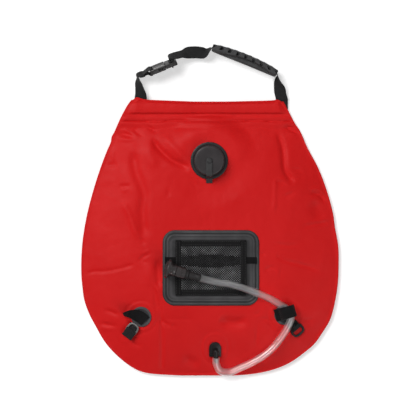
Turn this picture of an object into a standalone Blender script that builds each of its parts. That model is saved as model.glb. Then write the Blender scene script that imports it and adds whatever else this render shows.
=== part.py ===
# Camp shower bag, lying on its back on the ground: a welded bag of coated fabric with a screw-cap
# fill port, a mesh pocket, an outlet with a clear hose and a shower head, two straps that hold the
# hose, two D-rings, and a carrying handle with a side-release buckle.
# Metres. +Z is up, out of the bag's front, +Y runs towards the handle, and the ground is z = 0.
# "Lift" is a height above the bag's front, and "lean" how far a webbing's width stands up.

import math

import bmesh
import bpy
import numpy as np
from mathutils import Matrix, Vector

# Gaps between neighbours
GAP = 0.0003
SLIDE_GAP = 0.0004

# Bag outline, front and back
BAG_WIDTH = 0.419
BAG_TOP_WIDTH = 0.246
BAG_TOP_Y = 0.177
BAG_WIDEST_Y = -0.099
BAG_BOTTOM_Y = -0.271
BAG_BOTTOM_RUN = 0.084
BAG_BOTTOM_POWER = 3.1
PANEL_THICKNESS = 0.001
SEAM_WIDTH = 0.005
SEAM_Z = 0.006
FRONT_RISE = 0.022
SIDE_POWER = 3
END_POWER = 4
FLOOR_FULLNESS = 0.35
CHAMBER_TOP_Y = BAG_TOP_Y - 0.031

# Stiffener bar in the top hem
BAR_INSET = 0.0165
BAR_LENGTH = BAG_TOP_WIDTH - 2 * BAR_INSET
BAR_WIDTH = 0.0125
BAR_THICKNESS = 0.003
BAR_Y = BAG_TOP_Y - 0.0115
BAR_ROUND = 0.0005
BAR_SLEEVE_FALL = 0.002

# Fill port: flange, neck, thread, gasket and cap
PORT_X = 0.0
PORT_Y = 0.0796
NECK_RADIUS = 0.0198
NECK_WALL = 0.0024
NECK_HEIGHT = 0.010
FLANGE_WIDTH = 0.0107
FLANGE_RADIUS = NECK_RADIUS + FLANGE_WIDTH
FLANGE_THICKNESS = 0.0022
FLANGE_BEVEL = 0.0007
PANEL_HOLE_RADIUS = NECK_RADIUS + 0.0027
PORT_FLAT_RADIUS = FLANGE_RADIUS + 0.0155
PORT_BLEND = 0.035
THREAD_DEPTH = 0.0011
THREAD_PITCH = 0.003
THREAD_TURNS = 2.0
THREAD_ROOT = 0.0006
THREAD_CREST = 0.0002
THREAD_DROP = 0.001
CAP_WALL = 0.0028
CAP_CLEARANCE = 0.0005
CAP_RADIUS = NECK_RADIUS + GAP + THREAD_DEPTH + CAP_CLEARANCE + CAP_WALL
CAP_TOP = 0.0024
CAP_ROUND = 0.0022
CAP_LOBES = 18
CAP_LOBE_DEPTH = 0.0005
GASKET_THICKNESS = 0.0012

# Cap tether and its swivel pin
TETHER_WIDTH = 0.009
TETHER_THICKNESS = 0.0012
TETHER_FOOT = 0.005
TETHER_BEND = 0.0035
PIN_RADIUS = 0.0023
PIN_HEAD_RADIUS = 0.0045
PIN_HEAD_THICKNESS = 0.0014
PIN_HEAD_BEVEL = 0.0006
PIN_DEPTH = 0.0011

# Pocket: patch, strap, mesh and binding tapes
PATCH_X = 0.0026
PATCH_Y = -0.0952
PATCH_WIDTH = 0.1575
PATCH_HEIGHT = 0.1229
PATCH_CORNER = 0.020
PATCH_THICKNESS = 0.0012
POCKET_STRAP_RISE = 0.0123
POCKET_STRAP_INSET = 0.004
POCKET_STRAP_WIDTH = 0.0106
POCKET_STRAP_THICKNESS = 0.0012
MESH_WIDTH = 0.0970
MESH_HEIGHT = 0.0710
MESH_COLUMNS = 13
MESH_ROWS = 10
MESH_CORD = 0.0016
MESH_THICKNESS = 0.0008
TAPE_WIDTH = 0.0088
TAPE_OVERHANG = 0.0005
TAPE_THICKNESS = 0.0012

# Outlet, clear hose and the hand-chosen route of the hose: x, y and lift of its centre
OUTLET_X = 0.0095
OUTLET_Y = -0.228
OUTLET_WIDTH = 0.0195
OUTLET_HEIGHT = 0.0245
OUTLET_THICKNESS = 0.002
HOSE_RADIUS = 0.006
SPOUT_OFFSET = 0.0015
SPOUT_RADIUS = 0.0042
SPOUT_LIFT = HOSE_RADIUS + 0.0012
SPOUT_LENGTH = 0.013
BARB_RADIUS = 0.0035
BARB_RIDGE = 0.0005
BARB_LENGTH = 0.0085
BARB_STEP = 0.0001
HOSE_BORE = BARB_RADIUS + BARB_RIDGE + GAP
HOSE_STEP = 0.016
HOSE_ROUTE = [
    (0.0155, -0.2615, 0.0071),
    (0.0250, -0.2662, 0.0072),
    (0.0370, -0.2648, 0.0071),
    (0.0518, -0.2582, 0.0069),
    (0.0665, -0.2516, 0.0068),
    (0.0877, -0.2394, 0.0068),
    (0.1041, -0.2255, 0.0068),
    (0.1188, -0.2067, 0.0078),
    (0.1284, -0.1904, 0.0103),
    (0.1336, -0.1760, 0.0107),
    (0.1312, -0.1668, 0.0096),
    (0.1246, -0.1603, 0.0084),
    (0.1106, -0.1520, 0.0072),
    (0.1000, -0.1459, 0.0070),
    (0.0828, -0.1381, 0.0088),
    (0.0590, -0.1290, 0.0114),
    (0.0338, -0.1214, 0.0109),
    (0.0170, -0.1190, 0.0108),
]

# Shower head: sizes along its own axis, from the hose's end
HEAD_X = -0.0141
HEAD_Y = -0.1116
HEAD_DROP = 0.0029
HEAD_TURN = 163.5
HEAD_BEVEL = 0.0010
HEAD_BARB_LENGTH = 0.010
HEAD_NECK_RADIUS = 0.0062
HEAD_NECK_LENGTH = 0.0207
HEAD_COLLAR_RADIUS = 0.0078
HEAD_COLLAR_LENGTH = 0.0043
HEAD_BODY_RADIUS = 0.0095
HEAD_BODY_LENGTH = 0.0172
SPIGOT_RADIUS = 0.0068
SPIGOT_LENGTH = 0.0085
BELL_RADIUS = 0.0160
BELL_LENGTH = 0.0187
BELL_LIP = 0.0018
BELL_BAND = 0.0040
ROSE_DEPTH = 0.0020
ROSE_THICKNESS = 0.0015

# Hose straps on round patches
ROUND_PATCH_RADIUS = 0.0165
ROUND_PATCH_THICKNESS = 0.0012
WEBBING_WIDTH = 0.020
WEBBING_THICKNESS = 0.0014
RIGHT_PATCH_X = 0.1226
RIGHT_PATCH_Y = -0.1719
LEFT_PATCH_X = -0.1111
LEFT_PATCH_Y = -0.1752
RIGHT_STRAP_ROOT = (-0.0151, -0.0013)
RIGHT_STRAP_TURN = 16.0
RIGHT_STRAP_PROFILE = [
    (0.0, 0.0026),
    (0.0045, 0.0026),
    (0.0075, 0.0046),
    (0.0093, 0.0095),
    (0.0120, 0.0150),
    (0.0170, 0.0176),
    (0.0240, 0.0182),
    (0.0300, 0.0166),
    (0.0328, 0.0118),
    (0.0336, 0.0052),
]
LEFT_STRAP_ROUTE = [
    (0.0065, -0.0070, 0.0027, 43.0, 0.0),
    (0.0011, -0.0020, 0.0028, 46.0, 1.0),
    (-0.0069, 0.0024, 0.0050, 70.0, 14.0),
    (-0.0179, 0.0046, 0.0088, 84.0, 42.0),
    (-0.0294, 0.0049, 0.0112, 88.0, 72.0),
]

# D-rings on webbing tabs
RIGHT_TAB_TURN = -50.0
RIGHT_TAB_LENGTH = 0.0150
LEFT_TAB_TURN = -126.1
LEFT_TAB_LENGTH = 0.0245
TAB_WIDTH = 0.0178
TAB_THICKNESS = 0.0012
TAB_MARGIN = 0.0006
TAB_SEWN = 0.004
TAB_OVER_BAR = 0.003
RING_RADIUS = 0.0013
RING_CLEARANCE = 0.0007
RING_WIDTH = TAB_WIDTH + 2 * (RING_CLEARANCE + 2 * RING_RADIUS)
RING_HEIGHT = 0.0165
RING_LEG = 0.003
RIGHT_RING_INSET = 0.0030
LEFT_RING_INSET = 0.0100

# Handle: its hinge line above the hem, the buckle and the grip, as places above that line
HINGE_OUT = 0.004
HINGE_Z = SEAM_Z
ANCHOR_LENGTH = 0.018
LEFT_LEG_X = -0.1124
RIGHT_LEG_X = 0.1190
BUCKLE_X = -0.0757
BUCKLE_OUT = 0.0533
BUCKLE_TURN = 21.5
BUCKLE_LEAN = 70.0
BUCKLE_WIDTH = WEBBING_WIDTH + 0.007
FEMALE_LENGTH = 0.0270
FEMALE_THICKNESS = 0.0080
MALE_LENGTH = 0.0200
MALE_THICKNESS = 0.0066
SLOT_LENGTH = 0.0036
SLOT_EDGE = 0.0028
SLOT_CLEARANCE = 0.0006
PRONG_LENGTH = 0.0170
PRONG_ROOT = 0.003
PRONG_WIDTH = 0.0038
PRONG_THICKNESS = 0.0034
PRONG_SPREAD = 0.0080
GUIDE_WIDTH = 0.0036
WINDOW_INSET = 0.0045
WINDOW_LENGTH = 0.0085
WINDOW_HEIGHT = 0.0042
BUCKLE_BEVEL = 0.0012
GRIP_X = 0.0579
GRIP_OUT = 0.0625
GRIP_TURN = -22.1
GRIP_LENGTH = 0.1138
GRIP_BOW = 0.0027
GRIP_THICKNESS = 0.0175
GRIP_END_THICKNESS = 0.0110
GRIP_HEIGHT = WEBBING_WIDTH + 0.006
GRIP_END_HEIGHT = WEBBING_WIDTH + 0.004
GRIP_NOTCHES = 9
GRIP_NOTCH_PITCH = 0.0118
GRIP_NOTCH_RADIUS = 0.0011

# Webbing between two pieces: share of the way, distance to the left of the straight line,
# height of its lower edge, direction of its width, and lean
LEFT_LEG_ROUTE = [
    (0.122, 0.0019, 0.0018, 2.0, 18.0),
    (0.296, 0.0058, 0.0003, 0.0, 44.0),
    (0.488, 0.0104, 0.0003, -8.0, 68.0),
    (0.641, 0.0142, 0.0006, -30.0, 84.0),
    (0.768, 0.0153, 0.0010, -60.0, 90.0),
    (0.869, 0.0108, 0.0018, -66.0, 90.0),
    (0.940, 0.0057, 0.0032, -67.0, 80.0),
]
RIGHT_LEG_ROUTE = [
    (0.229, 0.0015, 0.0024, -62.0, 66.0),
    (0.468, 0.0007, 0.0022, -36.0, 40.0),
    (0.687, 0.0006, 0.0032, -12.0, 16.0),
    (0.881, 0.0006, 0.0040, -2.0, 4.0),
]
SLACK_ROUTE = [
    (0.031, 0.0137, 0.0072, -68.5, 70.0),
    (0.127, 0.0145, 0.0071, -68.5, 68.0),
    (0.231, 0.0126, 0.0050, -69.0, 62.0),
    (0.357, 0.0090, 0.0031, -70.0, 58.0),
    (0.475, 0.0065, 0.0042, -74.0, 40.0),
    (0.603, 0.0032, 0.0061, -76.0, 24.0),
    (0.717, 0.0001, 0.0048, -76.0, 34.0),
    (0.828, -0.0011, 0.0033, -72.0, 58.0),
    (0.925, 0.0004, 0.0032, -68.5, 82.0),
]

# Colours
RED = (0.52, 0.012, 0.016, 1.0)
BLACK = (0.022, 0.022, 0.024, 1.0)
GREY = (0.30, 0.30, 0.32, 1.0)
CLEAR = (0.80, 0.82, 0.83, 1.0)

UP = Vector((0.0, 0.0, 1.0))
HINGE_Y = BAG_TOP_Y + HINGE_OUT
STRAP_LIFT = ROUND_PATCH_THICKNESS + 2 * GAP
POCKET_STRAP_LIFT = PATCH_THICKNESS + 2 * GAP
MESH_LIFT = POCKET_STRAP_LIFT + POCKET_STRAP_THICKNESS + GAP
TAPE_TOP = MESH_LIFT + MESH_THICKNESS + TAPE_THICKNESS
HEAD_LIFT = TAPE_TOP + HEAD_BODY_RADIUS - HEAD_DROP


# Scene, materials and modifiers
def clear_scene():
    for item in list(bpy.data.objects):
        bpy.data.objects.remove(item, do_unlink=True)


def new_collection(name):
    made = bpy.data.collections.new(name)
    bpy.context.scene.collection.children.link(made)
    return made


clear_scene()
PARTS = new_collection("camp_shower_bag")
CUTTERS = new_collection("cutters")


def new_material(name, colour, roughness, metallic=0.0):
    made = bpy.data.materials.new(name)
    made.use_nodes = True
    shader = made.node_tree.nodes["Principled BSDF"]
    shader.inputs["Base Color"].default_value = colour
    shader.inputs["Roughness"].default_value = roughness
    shader.inputs["Metallic"].default_value = metallic
    made.diffuse_color = colour
    return made


def add_part(mesh, name, finish):
    """An object for one sub-part, with a material of its own."""
    mesh.name = name
    made = bpy.data.objects.new(name, mesh)
    colour, roughness = finish
    mesh.materials.append(new_material(name, colour, roughness))
    PARTS.objects.link(made)
    return made


def add_cutter(mesh, name):
    mesh.name = name
    made = bpy.data.objects.new(name, mesh)
    made.hide_render = True
    made.display_type = "WIRE"
    CUTTERS.objects.link(made)
    return made


def combine(target, other, operation="DIFFERENCE"):
    step = target.modifiers.new(other.name, "BOOLEAN")
    step.object = other
    step.operation = operation
    step.solver = "EXACT"


def round_edges(target, width, segments=2):
    step = target.modifiers.new("rounded edges", "BEVEL")
    step.width = width
    step.segments = segments
    step.limit_method = "ANGLE"
    step.angle_limit = math.radians(40)


def pivot(name, place):
    """An empty on a joint's axis, which the moving pieces hang on."""
    made = bpy.data.objects.new(name, None)
    made.empty_display_size = 0.02
    made.location = place
    PARTS.objects.link(made)
    return made


def hang(target, carrier):
    target.parent = carrier
    target.matrix_parent_inverse = Matrix.Translation(carrier.location).inverted()


# Shapes
def along(turn):
    """The level direction at an angle in degrees, anticlockwise from +X."""
    return Vector((math.cos(math.radians(turn)), math.sin(math.radians(turn)), 0))


def mesh_from(bm):
    mesh = bpy.data.meshes.new("shape")
    bm.to_mesh(mesh)
    bm.free()
    return mesh


def grid_mesh(columns, rows, place):
    """A grid of quads whose points are placed by their column and row."""
    bm = bmesh.new()
    bmesh.ops.create_grid(bm, x_segments=columns, y_segments=rows, size=1)
    for vertex in bm.verts:
        column = round((vertex.co.x + 1) / 2 * columns)
        row = round((vertex.co.y + 1) / 2 * rows)
        vertex.co = place(column, row)
    return mesh_from(bm)


def thicken(target, thickness, offset):
    step = target.modifiers.new("thickness", "SOLIDIFY")
    step.thickness = thickness
    step.offset = offset
    step.use_even_offset = True


def box_mesh(low, high):
    bm = bmesh.new()
    bmesh.ops.create_cube(bm, size=1)
    low, high = Vector(low), Vector(high)
    for vertex in bm.verts:
        vertex.co = (low + high) / 2 + vertex.co * (high - low)
    return mesh_from(bm)


def rod_mesh(radius, length, sides=12):
    bm = bmesh.new()
    bmesh.ops.create_cone(
        bm, cap_ends=True, segments=sides, radius1=radius, radius2=radius, depth=length
    )
    return mesh_from(bm)


def plate_mesh(outline, thickness):
    """A flat outline with its underside on z = 0."""
    bm = bmesh.new()
    face = bm.faces.new([bm.verts.new((x, y, 0)) for x, y in outline])
    top = bmesh.ops.extrude_face_region(bm, geom=[face])["geom"]
    raised = [item for item in top if isinstance(item, bmesh.types.BMVert)]
    bmesh.ops.translate(bm, verts=raised, vec=(0, 0, thickness))
    bmesh.ops.recalc_face_normals(bm, faces=bm.faces)
    return mesh_from(bm)


def turned(profile, name, finish, steps=32, ring=False):
    """A turned piece: radius and height, top to bottom along its outer side."""
    bm = bmesh.new()
    points = [bm.verts.new((radius, 0, height)) for radius, height in profile]
    for a, b in zip(points, points[1:]):
        bm.edges.new((a, b))
    if ring:
        bm.edges.new((points[-1], points[0]))
    made = add_part(mesh_from(bm), name, finish)
    step = made.modifiers.new("turned", "SCREW")
    step.steps = steps
    step.render_steps = steps
    step.use_merge_vertices = True
    step.merge_threshold = 0.00001
    return made


def smooth_route(points, step):
    """Points along one smooth curve through the route's own points, at most a step apart."""
    knots = np.array(points, float)
    knots = np.vstack([2 * knots[0] - knots[1], knots, 2 * knots[-1] - knots[-2]])
    runs = []
    for a, b, c, d in zip(knots, knots[1:], knots[2:], knots[3:]):
        parts = math.ceil(np.linalg.norm((c - b)[:3]) / step)
        t = np.linspace(0, 1, parts, endpoint=False)[:, None]
        bend = 2 * a - 5 * b + 4 * c - d
        runs.append((2 * b + (c - a) * t + bend * t**2 + (3 * b - a - 3 * c + d) * t**3) / 2)
    return np.vstack(runs + [knots[-2]])


def ribbon_mesh(route, width, step):
    """A strip along x, y, z, the direction of its width in plan, and its lean, in degrees."""
    stations = smooth_route(route, step)

    def place(column, row):
        x, y, z, turn, lean = stations[column]
        turn, lean = math.radians(turn), math.radians(lean)
        flat = Vector((math.cos(turn), math.sin(turn), 0))
        across = flat * math.cos(lean) + UP * math.sin(lean)
        return Vector((x, y, z)) + across * width * (row - 0.5)

    return grid_mesh(len(stations) - 1, 1, place)


def ribbon(name, route, width, thickness, step=0.006):
    made = add_part(ribbon_mesh(route, width, step), name, WEBBING)
    thicken(made, thickness, 0)
    return made


def loft_mesh(sections):
    """A closed skin through rings of points, alike in number, with flat ends."""
    bm = bmesh.new()
    rings = [[bm.verts.new(point) for point in section] for section in sections]
    for low, high in zip(rings, rings[1:]):
        for k in range(len(low)):
            after = (k + 1) % len(low)
            bm.faces.new((low[k], low[after], high[after], high[k]))
    bm.faces.new(rings[0][::-1])
    bm.faces.new(rings[-1])
    bmesh.ops.recalc_face_normals(bm, faces=bm.faces)
    return mesh_from(bm)


# The bag's form
def half_width(y):
    if y >= BAG_WIDEST_Y:
        t = (y - BAG_WIDEST_Y) / (BAG_TOP_Y - BAG_WIDEST_Y)
        return BAG_WIDTH / 2 - (BAG_WIDTH - BAG_TOP_WIDTH) / 2 * t * t
    run = (BAG_BOTTOM_RUN / BAG_WIDTH) ** BAG_BOTTOM_POWER
    t = (BAG_WIDEST_Y - y) / (BAG_WIDEST_Y - BAG_BOTTOM_Y)
    return BAG_WIDTH / 2 * max(run, 1 - (1 - run) * t * t) ** (1 / BAG_BOTTOM_POWER)


def fullness(x, y):
    """1 in the middle of the water chamber and 0 along its seam."""
    low = BAG_BOTTOM_Y + SEAM_WIDTH
    middle, reach = (CHAMBER_TOP_Y + low) / 2, (CHAMBER_TOP_Y - low) / 2
    across = min(1.0, abs(x) / (half_width(y) - SEAM_WIDTH))
    along = min(1.0, abs(y - middle) / reach)
    return (1 - across**SIDE_POWER) * (1 - along**END_POWER)


def bar_sleeve(x, y):
    """1 over the stiffener bar, falling to 0 round it."""
    side = half_width(y) - SEAM_WIDTH
    flat = (BAR_LENGTH / 2 + side) / 2
    across = (side - abs(x)) / (side - flat)
    along = (BAR_WIDTH / 2 + 2 * GAP + BAR_SLEEVE_FALL - abs(y - BAR_Y)) / BAR_SLEEVE_FALL
    return min(1.0, max(0.0, across)) * min(1.0, max(0.0, along))


def free_front_z(x, y):
    seam = SEAM_Z + GAP / 2 + PANEL_THICKNESS
    return seam + FRONT_RISE * fullness(x, y) + (BAR_THICKNESS + GAP) * bar_sleeve(x, y)


PORT_Z = free_front_z(PORT_X, PORT_Y)


def front_z(x, y):
    """The outside of the front panel, which is level round the fill port."""
    away = (math.hypot(x - PORT_X, y - PORT_Y) - PORT_FLAT_RADIUS) / PORT_BLEND
    away = min(1.0, max(0.0, away))
    share = away * away * (3 - 2 * away)
    return PORT_Z + (free_front_z(x, y) - PORT_Z) * share


def back_z(x, y):
    """The outside of the back panel, flat on the ground under the full part."""
    raised = max(0.0, 1 - fullness(x, y) / FLOOR_FULLNESS)
    return (SEAM_Z - GAP / 2 - PANEL_THICKNESS) * raised**2


def on_bag(x, y, lift):
    return Vector((x, y, front_z(x, y) + lift))


def bag_normal(x, y, reach=0.008):
    """The front's direction over a small base on it."""
    along_x = on_bag(x + reach, y, 0) - on_bag(x - reach, y, 0)
    along_y = on_bag(x, y + reach, 0) - on_bag(x, y - reach, 0)
    return along_x.cross(along_y).normalized()


def laid(route):
    """A webbing's route from x, y, lift, direction of the width, and lean against the bag."""
    settled = []
    for x, y, lift, turn, lean in route:
        side = along(turn) * WEBBING_WIDTH / 2
        fall = on_bag(x + side.x, y + side.y, 0) - on_bag(x - side.x, y - side.y, 0)
        slope = math.degrees(math.asin(fall.z / fall.length))
        settled.append((*on_bag(x, y, lift), turn, lean + slope))
    return settled


def bag_rows():
    sleeve = BAR_WIDTH / 2 + 2 * GAP
    rows = [BAG_TOP_Y]
    rows += [BAR_Y + sleeve + BAR_SLEEVE_FALL, BAR_Y + sleeve]
    rows += [BAR_Y - sleeve, BAR_Y - sleeve - BAR_SLEEVE_FALL, CHAMBER_TOP_Y]
    upper = 9
    rows += [CHAMBER_TOP_Y + (BAG_WIDEST_Y - CHAMBER_TOP_Y) * k / upper for k in range(1, upper + 1)]
    lower = 7
    depth = BAG_WIDEST_Y - BAG_BOTTOM_Y - SEAM_WIDTH
    rows += [
        BAG_WIDEST_Y - depth * math.sin(math.pi / 2 * k / lower) for k in range(1, lower + 1)
    ]
    return rows + [BAG_BOTTOM_Y]


def panel_mesh(height):
    """Columns run from seam to seam, with one more on each side for the welded seam."""
    rows = bag_rows()
    inner = 18

    def place(column, row):
        y = rows[len(rows) - 1 - row]
        half = half_width(y)
        if column == 0:
            x = -half
        elif column == inner + 2:
            x = half
        else:
            x = (half - SEAM_WIDTH) * (2 * (column - 1) / inner - 1)
        return Vector((x, y, height(x, y)))

    return grid_mesh(inner + 2, len(rows) - 1, place)


def make_round_patch(name, x, y):
    """A disc that follows the bag's front: its outline and one ring inside it."""
    bm = bmesh.new()
    bmesh.ops.create_circle(bm, cap_ends=True, segments=24, radius=ROUND_PATCH_RADIUS)
    rings = dict(thickness=ROUND_PATCH_RADIUS / 3, use_even_offset=True)
    bmesh.ops.inset_region(bm, faces=bm.faces[:], **rings)
    for vertex in bm.verts:
        vertex.co = on_bag(vertex.co.x + x, vertex.co.y + y, GAP)
    made = add_part(mesh_from(bm), name, WELD)
    thicken(made, ROUND_PATCH_THICKNESS, 1)


FABRIC = (RED, 0.45)
WEBBING = (BLACK, 0.8)
WELD = (BLACK, 0.5)
PLASTIC = (BLACK, 0.35)
RUBBER = (BLACK, 0.6)
NET = (GREY, 0.7)
TUBE = (CLEAR, 0.1)


# Bag body
def make_bag():
    front = add_part(panel_mesh(front_z), "front_panel", FABRIC)
    thicken(front, PANEL_THICKNESS, -1)
    hole = add_cutter(rod_mesh(PANEL_HOLE_RADIUS, 0.02, 24), "port_hole")
    hole.location = (PORT_X, PORT_Y, PORT_Z)
    combine(front, hole)
    back = add_part(panel_mesh(back_z), "back_panel", FABRIC)
    thicken(back, PANEL_THICKNESS, 1)
    bottom = SEAM_Z + GAP / 2
    low = (-BAR_LENGTH / 2, BAR_Y - BAR_WIDTH / 2, bottom)
    high = (BAR_LENGTH / 2, BAR_Y + BAR_WIDTH / 2, bottom + BAR_THICKNESS)
    bar = add_part(box_mesh(low, high), "hem_bar", PLASTIC)
    round_edges(bar, BAR_ROUND, 1)


# Fill port
def make_port():
    bottom = GAP
    top = bottom + FLANGE_THICKNESS
    neck = top + NECK_HEIGHT
    bore = NECK_RADIUS - NECK_WALL
    flange = turned(
        [
            (FLANGE_RADIUS - FLANGE_BEVEL, top),
            (FLANGE_RADIUS, top - FLANGE_BEVEL),
            (FLANGE_RADIUS, bottom),
            (bore, bottom),
            (bore, top),
        ],
        "fill_flange",
        PLASTIC,
        ring=True,
    )
    tube = turned(
        [(NECK_RADIUS, neck), (NECK_RADIUS, top + GAP), (bore, top + GAP), (bore, neck)],
        "neck_tube",
        PLASTIC,
        ring=True,
    )
    seat = Vector((PORT_X, PORT_Y, PORT_Z))
    flange.location = seat
    tube.location = seat
    make_thread(seat + UP * (neck - THREAD_DROP))
    cap_floor = neck + 2 * GAP + GASKET_THICKNESS
    gasket = turned(
        [
            (NECK_RADIUS, neck + GAP + GASKET_THICKNESS),
            (NECK_RADIUS, neck + GAP),
            (bore, neck + GAP),
            (bore, neck + GAP + GASKET_THICKNESS),
        ],
        "fill_gasket",
        RUBBER,
        ring=True,
    )
    gasket.location = seat
    lip = top + GAP
    crown = cap_floor + CAP_TOP
    hole = PIN_RADIUS + GAP
    cap = add_part(cap_mesh(lip, cap_floor, crown), "fill_cap", PLASTIC)
    cap.location = seat
    socket = add_cutter(rod_mesh(hole, 2 * (PIN_DEPTH + GAP), 12), "pin_socket")
    socket.location = seat + UP * crown
    combine(cap, socket)
    make_tether(seat, crown)
    turn = pivot("cap_pivot", seat)
    hang(cap, turn)
    hang(gasket, turn)


def cap_mesh(lip, floor, crown):
    """A cup whose outer side has shallow lobes to grip."""
    inner = CAP_RADIUS - CAP_WALL
    profile = [
        (0, crown),
        (CAP_RADIUS - CAP_ROUND, crown),
        (CAP_RADIUS - 0.3 * CAP_ROUND, crown - 0.3 * CAP_ROUND),
        (CAP_RADIUS, crown - CAP_ROUND),
        (CAP_RADIUS, lip),
        (inner, lip),
        (inner, floor),
        (0, floor),
    ]
    bm = bmesh.new()
    points = [bm.verts.new((radius, 0, height)) for radius, height in profile]
    edges = [bm.edges.new(pair) for pair in zip(points, points[1:])]
    bmesh.ops.spin(
        bm,
        geom=points + edges,
        axis=(0, 0, 1),
        cent=(0, 0, 0),
        steps=2 * CAP_LOBES,
        angle=2 * math.pi,
        use_merge=True,
    )
    bmesh.ops.remove_doubles(bm, verts=bm.verts, dist=0.00001)
    for vertex in bm.verts:
        radius = math.hypot(vertex.co.x, vertex.co.y)
        if radius > CAP_RADIUS - 0.0001:
            lobe = round(CAP_LOBES * math.atan2(vertex.co.y, vertex.co.x) / math.pi) % 2
            share = 1 - lobe * CAP_LOBE_DEPTH / radius
            vertex.co.x *= share
            vertex.co.y *= share
    bmesh.ops.recalc_face_normals(bm, faces=bm.faces)
    return mesh_from(bm)


def make_thread(top):
    """A helical ridge round the neck, clear of the neck by a gap."""
    steps = 20
    root = NECK_RADIUS + GAP
    sections = []
    for k in range(round(THREAD_TURNS * steps) + 1):
        angle = 2 * math.pi * k / steps
        height = -THREAD_PITCH * k / steps
        out = Vector((math.cos(angle), math.sin(angle), 0))
        ridge = top + UP * height
        sections.append(
            [
                ridge + out * root + UP * THREAD_ROOT,
                ridge + out * (root + THREAD_DEPTH) + UP * THREAD_CREST,
                ridge + out * (root + THREAD_DEPTH) - UP * THREAD_CREST,
                ridge + out * root - UP * THREAD_ROOT,
            ]
        )
    add_part(loft_mesh(sections), "neck_thread", PLASTIC)


def make_tether(seat, crown):
    """A strap that the pin holds on the cap and that runs over its edge to the bag."""
    level = crown + GAP + TETHER_THICKNESS / 2
    land = GAP + TETHER_THICKNESS / 2
    ledge = FLANGE_THICKNESS + GAP + land
    edge = CAP_RADIUS + TETHER_THICKNESS / 2
    profile = [
        (-TETHER_WIDTH / 2, level),
        (0, level),
        (edge - TETHER_BEND, level),
        (edge, level - 0.2 * TETHER_BEND),
        (edge + 0.5 * TETHER_BEND, level - 1.2 * TETHER_BEND),
        (FLANGE_RADIUS - 0.7 * TETHER_BEND, ledge + 0.35 * TETHER_BEND),
        (FLANGE_RADIUS + 0.35 * TETHER_BEND, ledge),
        (FLANGE_RADIUS + TETHER_FOOT, land),
    ]
    route = [(seat.x, seat.y - run, seat.z + height, 0, 0) for run, height in profile]
    tether = add_part(ribbon_mesh(route, TETHER_WIDTH, TETHER_BEND), "cap_tether", RUBBER)
    thicken(tether, TETHER_THICKNESS, 0)
    eye = add_cutter(rod_mesh(PIN_RADIUS + GAP, 3 * TETHER_THICKNESS, 12), "tether_eye")
    eye.location = seat + UP * level
    combine(tether, eye)
    under = crown + 2 * GAP + TETHER_THICKNESS
    head = under + PIN_HEAD_THICKNESS
    pin = turned(
        [
            (0, head),
            (PIN_HEAD_RADIUS - PIN_HEAD_BEVEL, head),
            (PIN_HEAD_RADIUS, head - PIN_HEAD_BEVEL),
            (PIN_HEAD_RADIUS, under),
            (PIN_RADIUS, under),
            (PIN_RADIUS, crown - PIN_DEPTH),
            (0, crown - PIN_DEPTH),
        ],
        "cap_pin",
        PLASTIC,
        steps=16,
    )
    pin.location = seat


# Pocket
def pocket_height(y_low, y_high, x, lift):
    return max(on_bag(x, y, lift).z for y in (y_low, y_high, (y_low + y_high) / 2))


def bar_grid(x_low, x_high, y_low, y_high, lift, columns, rows):
    def place(column, row):
        x = x_low + (x_high - x_low) * column / columns
        y = y_low + (y_high - y_low) * row / rows
        return on_bag(x, y, lift)

    return grid_mesh(columns, rows, place)


def make_tape(name, x_low, x_high, y_low, y_high, lift, thickness):
    long_way = x_high - x_low > y_high - y_low
    columns = 8 if long_way else 1
    rows = 1 if long_way else 6
    mesh = bar_grid(x_low, x_high, y_low, y_high, lift, columns, rows)
    tape = add_part(mesh, name, WEBBING)
    thicken(tape, thickness, 1)
    return tape


def patch_mesh(columns, rows):
    """The pocket's patch on the bag's front, with round corners."""

    def place(column, row):
        x = PATCH_WIDTH * (column / columns - 0.5)
        y = PATCH_HEIGHT * (row / rows - 0.5)
        over_x = abs(x) - PATCH_WIDTH / 2 + PATCH_CORNER
        over_y = abs(y) - PATCH_HEIGHT / 2 + PATCH_CORNER
        if over_x > 0 and over_y > 0:
            excess = 1 - max(over_x, over_y) / math.hypot(over_x, over_y)
            x -= math.copysign(over_x * excess, x)
            y -= math.copysign(over_y * excess, y)
        return on_bag(PATCH_X + x, PATCH_Y + y, GAP)

    return grid_mesh(columns, rows, place)


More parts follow.
